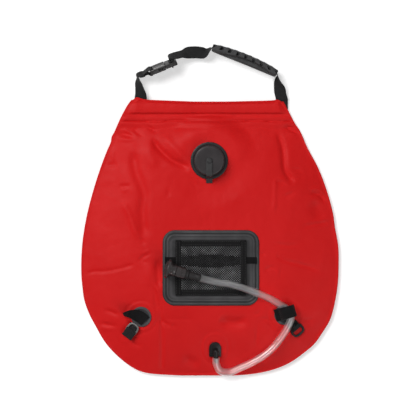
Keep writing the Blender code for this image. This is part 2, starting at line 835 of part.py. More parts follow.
def make_pocket():
    patch = add_part(patch_mesh(14, 12), "pocket_patch", WELD)
    thicken(patch, PATCH_THICKNESS, 1)
    half = PATCH_WIDTH / 2 - POCKET_STRAP_INSET
    strap_y = PATCH_Y + POCKET_STRAP_RISE
    strap = bar_grid(
        PATCH_X - half,
        PATCH_X + half,
        strap_y - POCKET_STRAP_WIDTH / 2,
        strap_y + POCKET_STRAP_WIDTH / 2,
        POCKET_STRAP_LIFT,
        12,
        1,
    )
    thicken(add_part(strap, "pocket_strap", WEBBING), POCKET_STRAP_THICKNESS, 1)
    make_net()
    left, right = PATCH_X - MESH_WIDTH / 2 - GAP, PATCH_X + MESH_WIDTH / 2 + GAP
    low, high = PATCH_Y - MESH_HEIGHT / 2 - GAP, PATCH_Y + MESH_HEIGHT / 2 + GAP
    ends = low - TAPE_WIDTH - TAPE_OVERHANG, high + TAPE_WIDTH + TAPE_OVERHANG
    deep = TAPE_TOP - POCKET_STRAP_LIFT
    sides = (("tape_left", left - TAPE_WIDTH, left), ("tape_right", right, right + TAPE_WIDTH))
    for name, x_low, x_high in sides:
        tape = make_tape(name, x_low, x_high, *ends, POCKET_STRAP_LIFT, deep)
        middle = (x_low + x_high) / 2
        edge = POCKET_STRAP_WIDTH / 2 + GAP
        y_low, y_high = strap_y - edge, strap_y + edge
        roof = POCKET_STRAP_LIFT + POCKET_STRAP_THICKNESS + GAP
        top = pocket_height(y_low, y_high, middle, roof) + GAP
        notch = box_mesh((x_low - GAP, y_low, top - 3 * deep), (x_high + GAP, y_high, top))
        combine(tape, add_cutter(notch, name + "_notch"))
    make_tape("tape_bottom", left + GAP, right - GAP, low - TAPE_WIDTH, low, POCKET_STRAP_LIFT, deep)
    thin = TAPE_TOP - MESH_LIFT
    make_tape("tape_top", left + GAP, right - GAP, high, high + TAPE_WIDTH, MESH_LIFT, thin)


def make_net():
    """A flat net: each cell of a grid keeps only a rim, half a cord wide."""
    bm = bmesh.new()
    bmesh.ops.create_grid(bm, x_segments=MESH_COLUMNS, y_segments=MESH_ROWS, size=1)
    for vertex in bm.verts:
        vertex.co.x *= MESH_WIDTH / 2
        vertex.co.y *= MESH_HEIGHT / 2
    cells = list(bm.faces)
    bmesh.ops.inset_individual(bm, faces=cells, thickness=MESH_CORD / 2, use_even_offset=True)
    bmesh.ops.delete(bm, geom=cells, context="FACES_ONLY")
    for vertex in bm.verts:
        vertex.co = on_bag(vertex.co.x + PATCH_X, vertex.co.y + PATCH_Y, MESH_LIFT)
    net = add_part(mesh_from(bm), "pocket_mesh", NET)
    thicken(net, MESH_THICKNESS, 1)


# Outlet, hose and shower head
def outlet_frame():
    """The outlet's frame: its own y runs up the bag and its z out of the front."""
    out = bag_normal(OUTLET_X, OUTLET_Y)
    across = Vector((0, 1, 0)).cross(out).normalized()
    along = out.cross(across)
    turn = Matrix((across, along, out)).transposed().to_4x4()
    return Matrix.Translation(on_bag(OUTLET_X, OUTLET_Y, 0)) @ turn


def make_outlet():
    frame = outlet_frame()
    half, tall = OUTLET_WIDTH / 2, OUTLET_HEIGHT
    arch = [math.pi * k / 10 for k in range(11)]
    outline = [(-half, -tall / 2), (half, -tall / 2)]
    outline += [(half * math.cos(a), tall / 2 - half + half * math.sin(a)) for a in arch]
    base = add_part(plate_mesh(outline, OUTLET_THICKNESS), "outlet_base", PLASTIC)
    base.matrix_world = frame @ Matrix.Translation((0, 0, 2 * GAP))
    along = Matrix.Rotation(math.radians(90), 4, "X")
    place = Vector((SPOUT_OFFSET, -tall / 2 + SPOUT_LENGTH / 2, SPOUT_LIFT))
    spout = add_cutter(rod_mesh(SPOUT_RADIUS, SPOUT_LENGTH, 16), "spout")
    spout.matrix_world = frame @ Matrix.Translation(place) @ along
    low = (SPOUT_OFFSET - SPOUT_RADIUS * 0.8, -tall / 2, OUTLET_THICKNESS / 2)
    high = (SPOUT_OFFSET + SPOUT_RADIUS * 0.8, SPOUT_LENGTH - tall / 2, SPOUT_LIFT)
    foot = add_cutter(box_mesh(low, high), "spout_foot")
    foot.matrix_world = frame
    combine(base, foot, "UNION")
    combine(base, spout, "UNION")
    mouth = frame @ Vector((SPOUT_OFFSET, -tall / 2, SPOUT_LIFT))
    ahead = (frame.to_3x3() @ Vector((0, -1, 0))).normalized()
    barb = turned(barb_profile(0, BARB_LENGTH), "outlet_barb", PLASTIC, steps=12)
    place_on_axis(barb, mouth + ahead * GAP, ahead)
    return mouth, ahead


def barb_profile(low, high):
    """A stem with ridges that grip the hose, its free end at the top."""
    out = BARB_RADIUS + BARB_RIDGE
    pitch = (high - low) / 3
    profile = [(0, high), (BARB_RADIUS, high)]
    for k in range(2):
        ridge = high - pitch * (k + 1)
        profile += [(out, ridge), (BARB_RADIUS, ridge - BARB_STEP)]
    return profile + [(BARB_RADIUS, low), (0, low)]


def place_on_axis(target, place, direction):
    target.rotation_mode = "QUATERNION"
    target.rotation_quaternion = direction.to_track_quat("Z", "Y")
    target.location = place


def head_axis():
    """Where the hose ends, and the direction of the head, whose rim rests on the patch."""
    joint = on_bag(HEAD_X, HEAD_Y, HEAD_LIFT)
    turn = math.radians(HEAD_TURN)
    level = Vector((math.cos(turn), math.sin(turn), 0))
    length = HEAD_NECK_LENGTH + HEAD_COLLAR_LENGTH + HEAD_BODY_LENGTH + BELL_LENGTH
    rim = joint + level * length
    rise = on_bag(rim.x, rim.y, PATCH_THICKNESS + 4 * GAP + BELL_RADIUS).z - joint.z
    return joint, (level * length + UP * rise).normalized()


def make_head():
    joint, axis = head_axis()
    start = GAP
    neck = start + HEAD_NECK_LENGTH
    shoulder = HEAD_NECK_RADIUS - HEAD_BEVEL
    profile = [(0, neck), (shoulder, neck), (HEAD_NECK_RADIUS, neck - HEAD_BEVEL)]
    profile += [(HEAD_NECK_RADIUS, start), (BARB_RADIUS, start)]
    barb = [(r, -z) for r, z in barb_profile(-start, HEAD_BARB_LENGTH)]
    stem = turned(profile + barb[::-1][1:], "head_stem", PLASTIC, steps=16)
    collar = neck + GAP
    body = collar + HEAD_COLLAR_LENGTH
    ring = [(0, body - GAP), (HEAD_COLLAR_RADIUS, body - GAP), (HEAD_COLLAR_RADIUS, collar)]
    nut = turned(ring + [(0, collar)], "head_collar", PLASTIC, steps=12)
    bell = body + HEAD_BODY_LENGTH
    shell = turned(
        [
            (0, bell + SPIGOT_LENGTH),
            (SPIGOT_RADIUS, bell + SPIGOT_LENGTH),
            (SPIGOT_RADIUS, bell - GAP),
            (HEAD_BODY_RADIUS - HEAD_BEVEL, bell - GAP),
            (HEAD_BODY_RADIUS, bell - GAP - HEAD_BEVEL),
            (HEAD_BODY_RADIUS, body + HEAD_BEVEL),
            (HEAD_BODY_RADIUS - HEAD_BEVEL, body),
            (0, body),
        ],
        "head_body",
        PLASTIC,
        steps=24,
    )
    rim = bell + BELL_LENGTH
    recess = rim - ROSE_DEPTH
    rose_radius = BELL_RADIUS - BELL_LIP
    bore = SPIGOT_RADIUS + SLIDE_GAP
    flare = BELL_RADIUS - HEAD_BODY_RADIUS
    throat = BELL_LENGTH - BELL_BAND
    cone = turned(
        [
            (0, recess),
            (rose_radius, recess),
            (rose_radius, rim),
            (BELL_RADIUS - BELL_LIP / 4, rim),
            (BELL_RADIUS, rim - BELL_LIP / 2),
            (BELL_RADIUS, bell + throat),
            (HEAD_BODY_RADIUS + 0.82 * flare, bell + 0.87 * throat),
            (HEAD_BODY_RADIUS + 0.28 * flare, bell + 0.48 * throat),
            (HEAD_BODY_RADIUS + 0.03 * flare, bell + 0.2 * throat),
            (HEAD_BODY_RADIUS, bell),
            (bore, bell),
            (bore, bell + SPIGOT_LENGTH + GAP),
            (0, bell + SPIGOT_LENGTH + GAP),
        ],
        "head_bell",
        PLASTIC,
        steps=32,
    )
    low = recess + GAP
    face = turned(
        [
            (0, low + ROSE_THICKNESS),
            (rose_radius - GAP, low + ROSE_THICKNESS),
            (rose_radius - GAP, low),
            (0, low),
        ],
        "head_rose",
        PLASTIC,
        steps=32,
    )
    for piece in (stem, nut, shell, cone, face):
        place_on_axis(piece, joint, axis)
    return joint, axis


def make_hose(mouth, ahead, joint, axis):
    """One tube from the outlet's barb to the head's, whose ends are bored out over the barbs."""
    route = [mouth + ahead * GAP, mouth + ahead * BARB_LENGTH]
    route += [on_bag(x, y, lift) for x, y, lift in HOSE_ROUTE]
    route += [joint - axis * HEAD_BARB_LENGTH, joint]
    line = [Vector(point) for point in smooth_route([tuple(p) for p in route], HOSE_STEP)]
    curve = bpy.data.curves.new("hose_line", "CURVE")
    curve.dimensions = "3D"
    curve.bevel_depth = HOSE_RADIUS
    curve.bevel_resolution = 3
    curve.use_fill_caps = True
    spline = curve.splines.new("POLY")
    spline.points.add(len(line) - 1)
    for point, place in zip(spline.points, line):
        point.co = (*place, 1)
    guide = bpy.data.objects.new("hose_line", curve)
    PARTS.objects.link(guide)
    bpy.context.view_layer.update()
    seen = guide.evaluated_get(bpy.context.evaluated_depsgraph_get())
    mesh = bpy.data.meshes.new_from_object(seen)
    bpy.data.objects.remove(guide, do_unlink=True)
    bm = bmesh.new()
    bm.from_mesh(mesh)
    bmesh.ops.remove_doubles(bm, verts=bm.verts, dist=0.00001)
    bm.to_mesh(mesh)
    bm.free()
    mesh.materials.clear()
    hose = add_part(mesh, "hose", TUBE)
    ends = ((mouth, ahead, BARB_LENGTH, "outlet_bore"), (joint, -axis, HEAD_BARB_LENGTH, "head_bore"))
    for place, inward, length, name in ends:
        bore = add_cutter(rod_mesh(HOSE_BORE, 2 * (length + 3 * GAP), 12), name)
        place_on_axis(bore, place, inward)
        combine(hose, bore)


# Hose straps and D-rings
def make_hose_straps():
    places = (("left", LEFT_PATCH_X, LEFT_PATCH_Y), ("right", RIGHT_PATCH_X, RIGHT_PATCH_Y))
    for side, x, y in places:
        make_round_patch(f"round_patch_{side}", x, y)
    ahead = along(RIGHT_STRAP_TURN)
    root = Vector((RIGHT_PATCH_X, RIGHT_PATCH_Y, 0)) + Vector((*RIGHT_STRAP_ROOT, 0))
    right = []
    for run, lift in RIGHT_STRAP_PROFILE:
        spot = root + ahead * run
        right.append((spot.x, spot.y, lift, RIGHT_STRAP_TURN + 90, 0))
    left = [(x + LEFT_PATCH_X, y + LEFT_PATCH_Y, *rest) for x, y, *rest in LEFT_STRAP_ROUTE]
    for side, steps in (("right", right), ("left", left)):
        line = laid(steps)
        strap = ribbon(f"hose_strap_{side}", line, WEBBING_WIDTH, WEBBING_THICKNESS, 0.004)
        hang(strap, pivot(f"strap_pivot_{side}", line[0][:3]))


def make_tab(side, centre, turn, length, inset):
    """A loop of webbing: out along the bag, round the ring's bar, and back on top."""
    ahead = along(turn)
    start = ROUND_PATCH_RADIUS + GAP + TAB_MARGIN
    end = ROUND_PATCH_RADIUS + length
    bar = end - inset
    low = GAP + TAB_THICKNESS / 2
    rise = TAB_THICKNESS + GAP + 2 * RING_RADIUS + GAP
    bend = rise / 2
    profile = [(start, low), (start + TAB_SEWN, low), (end - bend, low)]
    for k in range(1, 6):
        angle = math.pi * (k / 6 - 0.5)
        profile.append((end - bend + bend * math.cos(angle), low + bend + bend * math.sin(angle)))
    profile += [(end - bend, low + rise), (bar - TAB_OVER_BAR, low + rise)]
    stacked = low + TAB_THICKNESS + GAP
    profile += [((start + bar) / 2, stacked), (start, stacked)]
    route = []
    for run, lift in profile:
        spot = centre + ahead * run
        route.append((spot.x, spot.y, lift, turn + 90, 0))
    ribbon(f"ring_tab_{side}", laid(route), TAB_WIDTH, TAB_THICKNESS, 0.02)
    return centre + ahead * bar, low + TAB_THICKNESS / 2 + GAP + RING_RADIUS


def ring_points(height):
    """A D: the bar along x through the origin and the bow towards +y."""
    half = RING_WIDTH / 2 - RING_RADIUS
    reach = height - 2 * RING_RADIUS
    points = [(-half + half * 2 * k / 6, 0.0) for k in range(7)]
    for k in range(1, 12):
        angle = math.pi * k / 12
        bow = RING_LEG + (reach - RING_LEG) * math.sin(angle)
        points.append((half * math.cos(angle), bow))
    return points


def make_ring(side, bar, lift, turn, far_lift):
    """The ring's bar lies across its tab, and its bow at a lift of its own."""
    reach = RING_HEIGHT - 2 * RING_RADIUS
    place = on_bag(bar.x, bar.y, lift)
    tip = bar + along(turn) * reach
    rise = on_bag(tip.x, tip.y, far_lift).z - place.z
    bow = (along(turn) * reach + UP * rise).normalized()
    across = bow.cross(bag_normal(bar.x, bar.y)).normalized()
    curve = bpy.data.curves.new(f"d_ring_{side}", "CURVE")
    curve.dimensions = "3D"
    curve.bevel_depth = RING_RADIUS
    curve.bevel_resolution = 2
    points = ring_points(RING_HEIGHT)
    spline = curve.splines.new("POLY")
    spline.points.add(len(points) - 1)
    for point, (x, y) in zip(spline.points, points):
        point.co = (*(across * x + bow * y), 1)
    spline.use_cyclic_u = True
    ring = bpy.data.objects.new(f"d_ring_{side}", curve)
    curve.materials.append(new_material(f"d_ring_{side}", BLACK, 0.35))
    ring.location = place
    PARTS.objects.link(ring)


def make_rings():
    left = Vector((LEFT_PATCH_X, LEFT_PATCH_Y, 0))
    right = Vector((RIGHT_PATCH_X, RIGHT_PATCH_Y, 0))
    bar, lift = make_tab("right", right, RIGHT_TAB_TURN, RIGHT_TAB_LENGTH, RIGHT_RING_INSET)
    make_ring("right", bar, lift, RIGHT_TAB_TURN, RING_RADIUS + GAP)
    bar, lift = make_tab("left", left, LEFT_TAB_TURN, LEFT_TAB_LENGTH, LEFT_RING_INSET)
    over = STRAP_LIFT + WEBBING_THICKNESS + 3 * GAP + RING_RADIUS
    make_ring("left", bar, lift, LEFT_TAB_TURN + 180, over)


# Handle
def buckle_frame():
    """x runs along the buckle towards the grip, y across it and z out of its face."""
    ahead = along(BUCKLE_TURN)
    side = along(BUCKLE_TURN - 90)
    lean = math.radians(BUCKLE_LEAN)
    across = side * math.cos(lean) + UP * math.sin(lean)
    out = ahead.cross(across)
    height = (BUCKLE_WIDTH * math.sin(lean) + FEMALE_THICKNESS * math.cos(lean)) / 2 + GAP
    turn = Matrix((ahead, across, out)).transposed().to_4x4()
    return Matrix.Translation((BUCKLE_X, HINGE_Y + BUCKLE_OUT, height)) @ turn


def make_buckle(carrier):
    frame = buckle_frame()
    half = (FEMALE_LENGTH + MALE_LENGTH) / 2
    joint = FEMALE_LENGTH - half
    wide = BUCKLE_WIDTH / 2
    inner = WEBBING_WIDTH / 2 + SLOT_CLEARANCE
    low = (-half, -wide, -FEMALE_THICKNESS / 2)
    high = (joint, wide, FEMALE_THICKNESS / 2)
    female = add_part(box_mesh(low, high), "buckle_female", PLASTIC)
    round_edges(female, BUCKLE_BEVEL)
    cavity_side = PRONG_SPREAD + PRONG_WIDTH / 2 + SLIDE_GAP
    cavity_half = PRONG_THICKNESS / 2 + SLIDE_GAP
    cavity = (joint - PRONG_LENGTH - SLIDE_GAP, -cavity_side, -cavity_half)
    cuts = [(cavity, (joint + SLIDE_GAP, cavity_side, cavity_half))]
    slot = -half + SLOT_EDGE
    deep = FEMALE_THICKNESS
    cuts.append(((slot, -inner, -deep), (slot + SLOT_LENGTH, inner, deep)))
    window = joint - WINDOW_INSET - WINDOW_LENGTH
    for k, (a, b) in enumerate(cuts):
        combine(female, framed_cutter(a, b, frame, f"female_cut_{k}"))
    edge, past = WINDOW_HEIGHT / 2, wide + SLIDE_GAP
    a, b = (window, -past, -edge), (window + WINDOW_LENGTH, past, edge)
    combine(female, framed_cutter(a, b, frame, "prong_windows"))
    low = (joint + GAP, -wide, -MALE_THICKNESS / 2)
    high = (half, wide, MALE_THICKNESS / 2)
    male = add_part(box_mesh(low, high), "buckle_male", PLASTIC)
    round_edges(male, BUCKLE_BEVEL)
    root, tip = joint + PRONG_ROOT, joint - PRONG_LENGTH
    thick = PRONG_THICKNESS / 2
    fingers = ((-PRONG_SPREAD, PRONG_WIDTH), (0, GUIDE_WIDTH), (PRONG_SPREAD, PRONG_WIDTH))
    for k, (y, width) in enumerate(fingers):
        a, b = (tip, y - width / 2, -thick), (root, y + width / 2, thick)
        combine(male, framed_cutter(a, b, frame, f"prong_{k}"), "UNION")
    slots = (half - SLOT_EDGE - SLOT_LENGTH, half - 2 * SLOT_EDGE - 2 * SLOT_LENGTH)
    for k, x in enumerate(slots):
        a, b = (x, -inner, -deep), (x + SLOT_LENGTH, inner, deep)
        combine(male, framed_cutter(a, b, frame, f"male_slot_{k}"))
    for piece in (female, male):
        piece.matrix_world = frame
        hang(piece, carrier)


def framed_cutter(low, high, frame, name):
    cutter = add_cutter(box_mesh(low, high), name)
    cutter.matrix_world = frame
    return cutter


def grip_point(share):
    ahead = along(GRIP_TURN)
    middle = Vector((GRIP_X, HINGE_Y + GRIP_OUT, 0))
    bow = along(GRIP_TURN + 90) * GRIP_BOW * 4 * share * (1 - share)
    return middle + ahead * GRIP_LENGTH * (share - 0.5) + bow


def grip_z():
    return GRIP_HEIGHT / 2 + GAP


def grip_size(share):
    """The grip's sideways direction, thickness and height: fullest in the middle."""
    ahead = (grip_point(share + 0.01) - grip_point(share - 0.01)).normalized()
    full = math.sqrt(max(0.0, math.sin(math.pi * share)))
    thick = GRIP_END_THICKNESS + (GRIP_THICKNESS - GRIP_END_THICKNESS) * full
    tall = GRIP_END_HEIGHT + (GRIP_HEIGHT - GRIP_END_HEIGHT) * full
    return Vector((-ahead.y, ahead.x, 0)), thick, tall


def grip_section(share, sides=16):
    """A rounded section across the grip."""
    side, thick, tall = grip_size(share)
    centre = grip_point(share) + UP * grip_z()
    points = []
    for k in range(sides):
        angle = 2 * math.pi * (k + 0.5) / sides
        u, v = math.cos(angle), math.sin(angle)
        size = (abs(u) ** 3 + abs(v) ** 3) ** (-1 / 3)
        points.append(centre + side * u * size * thick / 2 + UP * v * size * tall / 2)
    return points


def make_grip(carrier):
    stations = 15
    mesh = loft_mesh([grip_section(k / stations) for k in range(stations + 1)])
    grip = add_part(mesh, "handle_grip", RUBBER)
    spots = [grip_point(share) for share in (-0.02, 0.25, 0.5, 0.75, 1.02)]
    route = [(*spot.xy, grip_z(), GRIP_TURN - 90, 90) for spot in spots]
    bore = ribbon_mesh(route, WEBBING_WIDTH + 2 * SLIDE_GAP, GRIP_LENGTH)
    channel = add_cutter(bore, "grip_channel")
    thicken(channel, WEBBING_THICKNESS + 2 * SLIDE_GAP, 0)
    combine(grip, channel)
    for k in range(GRIP_NOTCHES):
        share = 0.5 + (k - (GRIP_NOTCHES - 1) / 2) * GRIP_NOTCH_PITCH / GRIP_LENGTH
        side, thick, _ = grip_size(share)
        notch = add_cutter(rod_mesh(GRIP_NOTCH_RADIUS, 2 * GRIP_HEIGHT, 8), f"grip_notch_{k}")
        notch.location = grip_point(share) + side * thick / 2 + UP * grip_z()
        combine(grip, notch)
    hang(grip, carrier)
    spots = [grip_point(share) for share in (0, 0.25, 0.5, 0.75, 1)]
    inside = [(*spot.xy, grip_z(), GRIP_TURN - 90, 90) for spot in spots]
    webbing = ribbon("webbing_grip", inside, WEBBING_WIDTH, WEBBING_THICKNESS, GRIP_LENGTH)
    hang(webbing, carrier)


def spanned(start, end, steps):
    """A webbing's route between two places, from steps like those of LEFT_LEG_ROUTE."""
    chord = (end - start).xy
    across = Vector((-chord.y, chord.x)).normalized()
    route = []
    for share, aside, edge, turn, lean in steps:
        x, y = start.xy + chord * share + across * aside
        rise = WEBBING_WIDTH * math.sin(math.radians(lean))
        rise += WEBBING_THICKNESS * math.cos(math.radians(lean))
        route.append((x, y, edge + rise / 2, turn, lean))
    return route


def make_handle():
    carrier = pivot("handle_pivot", (0, HINGE_Y, HINGE_Z))
    half = WEBBING_THICKNESS / 2
    behind = SEAM_Z - GAP / 2 - PANEL_THICKNESS - GAP - half
    hems = []
    for side, x in (("left", LEFT_LEG_X), ("right", RIGHT_LEG_X)):
        route = [
            (x, BAG_TOP_Y - ANCHOR_LENGTH, behind, 0, 0),
            (x, BAG_TOP_Y - HINGE_OUT, behind, 0, 0),
            (x, BAG_TOP_Y + HINGE_OUT / 4, behind, 0, 0),
            (x, HINGE_Y - HINGE_OUT / 4, HINGE_Z - half, 0, 0),
            (x, HINGE_Y - GAP, HINGE_Z - half, 0, 0),
        ]
        ribbon(f"handle_anchor_{side}", route, WEBBING_WIDTH, WEBBING_THICKNESS, ANCHOR_LENGTH)
        hems.append(Vector((x, HINGE_Y, HINGE_Z - half)))
    frame = buckle_frame()
    half_length = (FEMALE_LENGTH + MALE_LENGTH) / 2
    meet = frame @ Vector((-half_length - GAP, 0, 0))
    before = frame @ Vector((-half_length - HINGE_OUT, 0, 0))
    buckled = (BUCKLE_TURN - 90, BUCKLE_LEAN)
    left = [(*hems[0], 0, 0)] + spanned(hems[0], meet, LEFT_LEG_ROUTE)
    left += [(*before, *buckled), (*meet, *buckled)]
    leg = ribbon("handle_leg_left", left, WEBBING_WIDTH, WEBBING_THICKNESS)
    hang(leg, carrier)
    make_buckle(carrier)
    make_grip(carrier)
    upright = (GRIP_TURN - 90, 90)
    apart = along(GRIP_TURN) * 2 * GAP
    start = grip_point(1) + apart + UP * grip_z()
    right = [(*start, *upright)] + spanned(start, hems[1], RIGHT_LEG_ROUTE)
    leg = ribbon("handle_leg_right", right + [(*hems[1], 0, 0)], WEBBING_WIDTH, WEBBING_THICKNESS)
    hang(leg, carrier)
    slot = half_length - 2 * SLOT_EDGE - 1.5 * SLOT_LENGTH
    inside = frame @ Vector((slot, 0, 0))
    face = frame @ Vector((slot, 0, MALE_THICKNESS / 2 + WEBBING_THICKNESS))
    end = grip_point(0) - apart + UP * grip_z()
    route = [(*inside, *buckled), (*face, *buckled)] + spanned(face, end, SLACK_ROUTE)
    route.append((*end, *upright))
    slack = ribbon("webbing_slack", route, WEBBING_WIDTH, WEBBING_THICKNESS, 0.004)
    hang(slack, carrier)


make_bag()
make_port()
make_pocket()
make_hose(*make_outlet(), *make_head())
make_hose_straps()
make_rings()
make_handle()
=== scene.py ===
import math

import bmesh
import bpy
import numpy as np
from mathutils import Matrix, Vector, noise


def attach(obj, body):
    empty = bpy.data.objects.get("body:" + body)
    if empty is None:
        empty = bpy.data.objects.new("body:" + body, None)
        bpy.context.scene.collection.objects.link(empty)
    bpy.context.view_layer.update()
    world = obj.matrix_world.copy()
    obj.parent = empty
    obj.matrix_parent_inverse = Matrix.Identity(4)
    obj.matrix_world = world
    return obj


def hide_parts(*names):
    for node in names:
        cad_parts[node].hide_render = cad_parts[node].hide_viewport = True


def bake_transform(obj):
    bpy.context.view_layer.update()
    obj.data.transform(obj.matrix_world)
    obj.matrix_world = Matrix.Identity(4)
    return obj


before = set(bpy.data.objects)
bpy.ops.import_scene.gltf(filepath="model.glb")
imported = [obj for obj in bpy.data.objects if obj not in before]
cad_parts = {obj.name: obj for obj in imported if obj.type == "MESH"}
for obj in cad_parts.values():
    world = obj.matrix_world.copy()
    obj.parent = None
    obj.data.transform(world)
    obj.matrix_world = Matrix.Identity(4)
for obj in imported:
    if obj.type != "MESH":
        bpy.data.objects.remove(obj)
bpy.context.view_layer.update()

up = Vector((0, 0, 1))


# Nodes
def linkNode(tree, kind, links=(), **values):
    made = tree.nodes.new(kind)
    for name, value in values.items():
        if name in made.bl_rna.properties:
            setattr(made, name, value)
        else:
            made.inputs[name.replace("_", " ")].default_value = value
    for source, target in links:
        tree.links.new(source, made.inputs[target])
    return made


def combined(tree, a, b, operation):
    return linkNode(tree, "ShaderNodeMath", [(a, 0), (b, 1)], operation=operation).outputs[0]


def newFinish(name, colour, roughness, **sockets):
    made = bpy.data.materials.new(name)
    made.use_nodes = True
    made.diffuse_color = (*colour, 1)
    shader = made.node_tree.nodes["Principled BSDF"]
    shader.inputs["Base Color"].default_value = (*colour, 1)
    shader.inputs["Roughness"].default_value = roughness
    for socket, value in sockets.items():
        shader.inputs[socket.replace("_", " ")].default_value = value
    return made, made.node_tree, shader


# Studio: the camera looks straight down with +Y up in the picture
studio = {
    "cameraPlace": (-0.0021, 0.00245, 4.02),
    "lens": 211.9,
    "keyPlace": (-2.6, 2.5, 3.9),
    "keySize": 3.0,
    "keyPower": 272,
    "fillPlace": (2.5, -2.8, 3.9),
    "fillSize": 3.0,
    "fillPower": 118,
    "skyLevel": 0.56,
    "floorColour": 0.80,
    "floorGlow": 0.42,
    "floorHalf": 6,
}


def seenDirectly(tree):
    # 1 for rays from the camera, from gloss and through clear material
    path = linkNode(tree, "ShaderNodeLightPath").outputs
    seen = combined(tree, path["Is Camera Ray"], path["Is Glossy Ray"], "MAXIMUM")
    return combined(tree, seen, path["Is Transmission Ray"], "MAXIMUM")


def addLamp(name):
    lamp = bpy.data.lights.new(f"{name}Light", "AREA")
    lamp.size = studio[f"{name}Size"]
    lamp.energy = studio[f"{name}Power"]
    made = bpy.data.objects.new(f"{name}Light", lamp)
    made.location = studio[f"{name}Place"]
    made.rotation_mode = "QUATERNION"
    made.rotation_quaternion = (-made.location).to_track_quat("-Z", "Y")
    bpy.context.scene.collection.objects.link(made)


def makeStudio():
    scene = bpy.context.scene
    camera = bpy.data.objects.new("camera", bpy.data.cameras.new("camera"))
    camera.location = studio["cameraPlace"]
    camera.data.lens = studio["lens"]
    camera.data.sensor_width = 36
    camera.data.clip_start = 0.1
    camera.data.clip_end = 100
    scene.collection.objects.link(camera)
    scene.camera = camera
    scene.view_settings.view_transform = "Standard"
    addLamp("key")
    addLamp("fill")

    world = bpy.data.worlds.new("studioAir")
    scene.world = world
    world.use_nodes = True
    tree = world.node_tree
    sky = tree.nodes["Background"]
    sky.inputs["Strength"].default_value = studio["skyLevel"]
    plain = linkNode(tree, "ShaderNodeBackground", Strength=1.0)
    parts = [(seenDirectly(tree), 0), (sky.outputs[0], 1), (plain.outputs[0], 2)]
    mix = linkNode(tree, "ShaderNodeMixShader", parts)
    tree.links.new(mix.outputs[0], tree.nodes["World Output"].inputs["Surface"])

    paper, tree, shader = newFinish("whitePaper", [studio["floorColour"]] * 3, 0.9)
    level = linkNode(tree, "ShaderNodeMath", [(seenDirectly(tree), 0)], operation="MULTIPLY")
    level.inputs[1].default_value = studio["floorGlow"]
    glow = linkNode(tree, "ShaderNodeEmission", [(level.outputs[0], "Strength")])
    add = linkNode(tree, "ShaderNodeAddShader", [(shader.outputs[0], 0), (glow.outputs[0], 1)])
    tree.links.new(add.outputs[0], tree.nodes["Material Output"].inputs["Surface"])

    bm = bmesh.new()
    bmesh.ops.create_grid(bm, x_segments=1, y_segments=1, size=studio["floorHalf"])
    mesh = bpy.data.meshes.new("studioFloor")
    bm.to_mesh(mesh)
    bm.free()
    mesh.materials.append(paper)
    floor = bpy.data.objects.new("studioFloor", mesh)
    scene.collection.objects.link(floor)
    print("studio ready")


makeStudio()


# Finishes
def objectPlace(tree):
    return linkNode(tree, "ShaderNodeTexCoord").outputs["Object"]


def threadPlace(tree, turn=0.0):
    # the piece's own map, in metres: across and along
    source = linkNode(tree, "ShaderNodeTexCoord").outputs["UV"]
    return linkNode(tree, "ShaderNodeMapping", [(source, "Vector")], Rotation=(0, 0, turn)).outputs[0]


def cloud(tree, place, scale, detail=3.0):
    made = linkNode(tree, "ShaderNodeTexNoise", [(place, "Vector")], Scale=scale, Detail=detail)
    return made.outputs["Fac"]


def ripple(tree, place, scale, axis, distortion=0.0):
    made = linkNode(
        tree, "ShaderNodeTexWave", [(place, "Vector")],
        wave_type="BANDS", bands_direction=axis, wave_profile="SIN", Scale=scale, Distortion=distortion,
    )
    return made.outputs["Fac"]


def crossed(tree, place, scale):
    return combined(tree, ripple(tree, place, scale, "X"), ripple(tree, place, scale, "Y"), "MULTIPLY")


def ramped(tree, source, stops):
    # stops: pairs of a position and a colour
    made = linkNode(tree, "ShaderNodeValToRGB", [(source, "Fac")])
    elements = made.color_ramp.elements
    while len(elements) < len(stops):
        elements.new(0.5)
    for element, (position, colour) in zip(elements, stops):
        element.position = position
        element.color = (*colour, 1)
    return made.outputs["Color"]


def pores(tree, place, scale):
    return linkNode(tree, "ShaderNodeTexVoronoi", [(place, "Vector")], Scale=scale).outputs["Distance"]


def raiseBumps(tree, shader, *heights):
    # heights: pairs of a socket and how far it stands up, in metres
    below = []
    for socket, distance in heights:
        parts = [(socket, "Height")] + below
        bump = linkNode(tree, "ShaderNodeBump", parts, Strength=1.0, Distance=distance)
        below = [(bump.outputs["Normal"], "Normal")]
    tree.links.new(bump.outputs["Normal"], shader.inputs["Normal"])


def surface(name, colour, roughness, tones, scale, *bumps, rough=None, band=(0.35, 0.65), **sockets):
    # tones: what the base colour wanders between; rough: scale, low and high of the roughness
    # bumps: what makes them, its values, and how far they stand up, in metres
    made, tree, shader = newFinish(name, colour, roughness, **sockets)
    place = objectPlace(tree)
    tone = ramped(tree, cloud(tree, place, scale, 4.0), list(zip(band, tones)))
    tree.links.new(tone, shader.inputs["Base Color"])
    if rough:
        grain, low, high = rough
        spread = linkNode(
            tree, "ShaderNodeMapRange", [(cloud(tree, place, grain), "Value")],
            From_Min=0.3, From_Max=0.7, To_Min=low, To_Max=high,
        )
        tree.links.new(spread.outputs["Result"], shader.inputs["Roughness"])
    if bumps:
        raiseBumps(tree, shader, *[(kind(tree, place, *values), height) for kind, *values, height in bumps])
    return made


def blackMoulding(name="blackMoulding", colour=(0.016, 0.0145, 0.015), roughness=0.36, gloss=0.2):
    return surface(
        name, colour, roughness, [colour, [1.5 * c for c in colour]], 55, (cloud, 1900.0, 2.0, 0.00004),
        rough=(240, roughness - 0.08, roughness + 0.10), band=(0.45, 0.80), Specular_IOR_Level=gloss,
    )


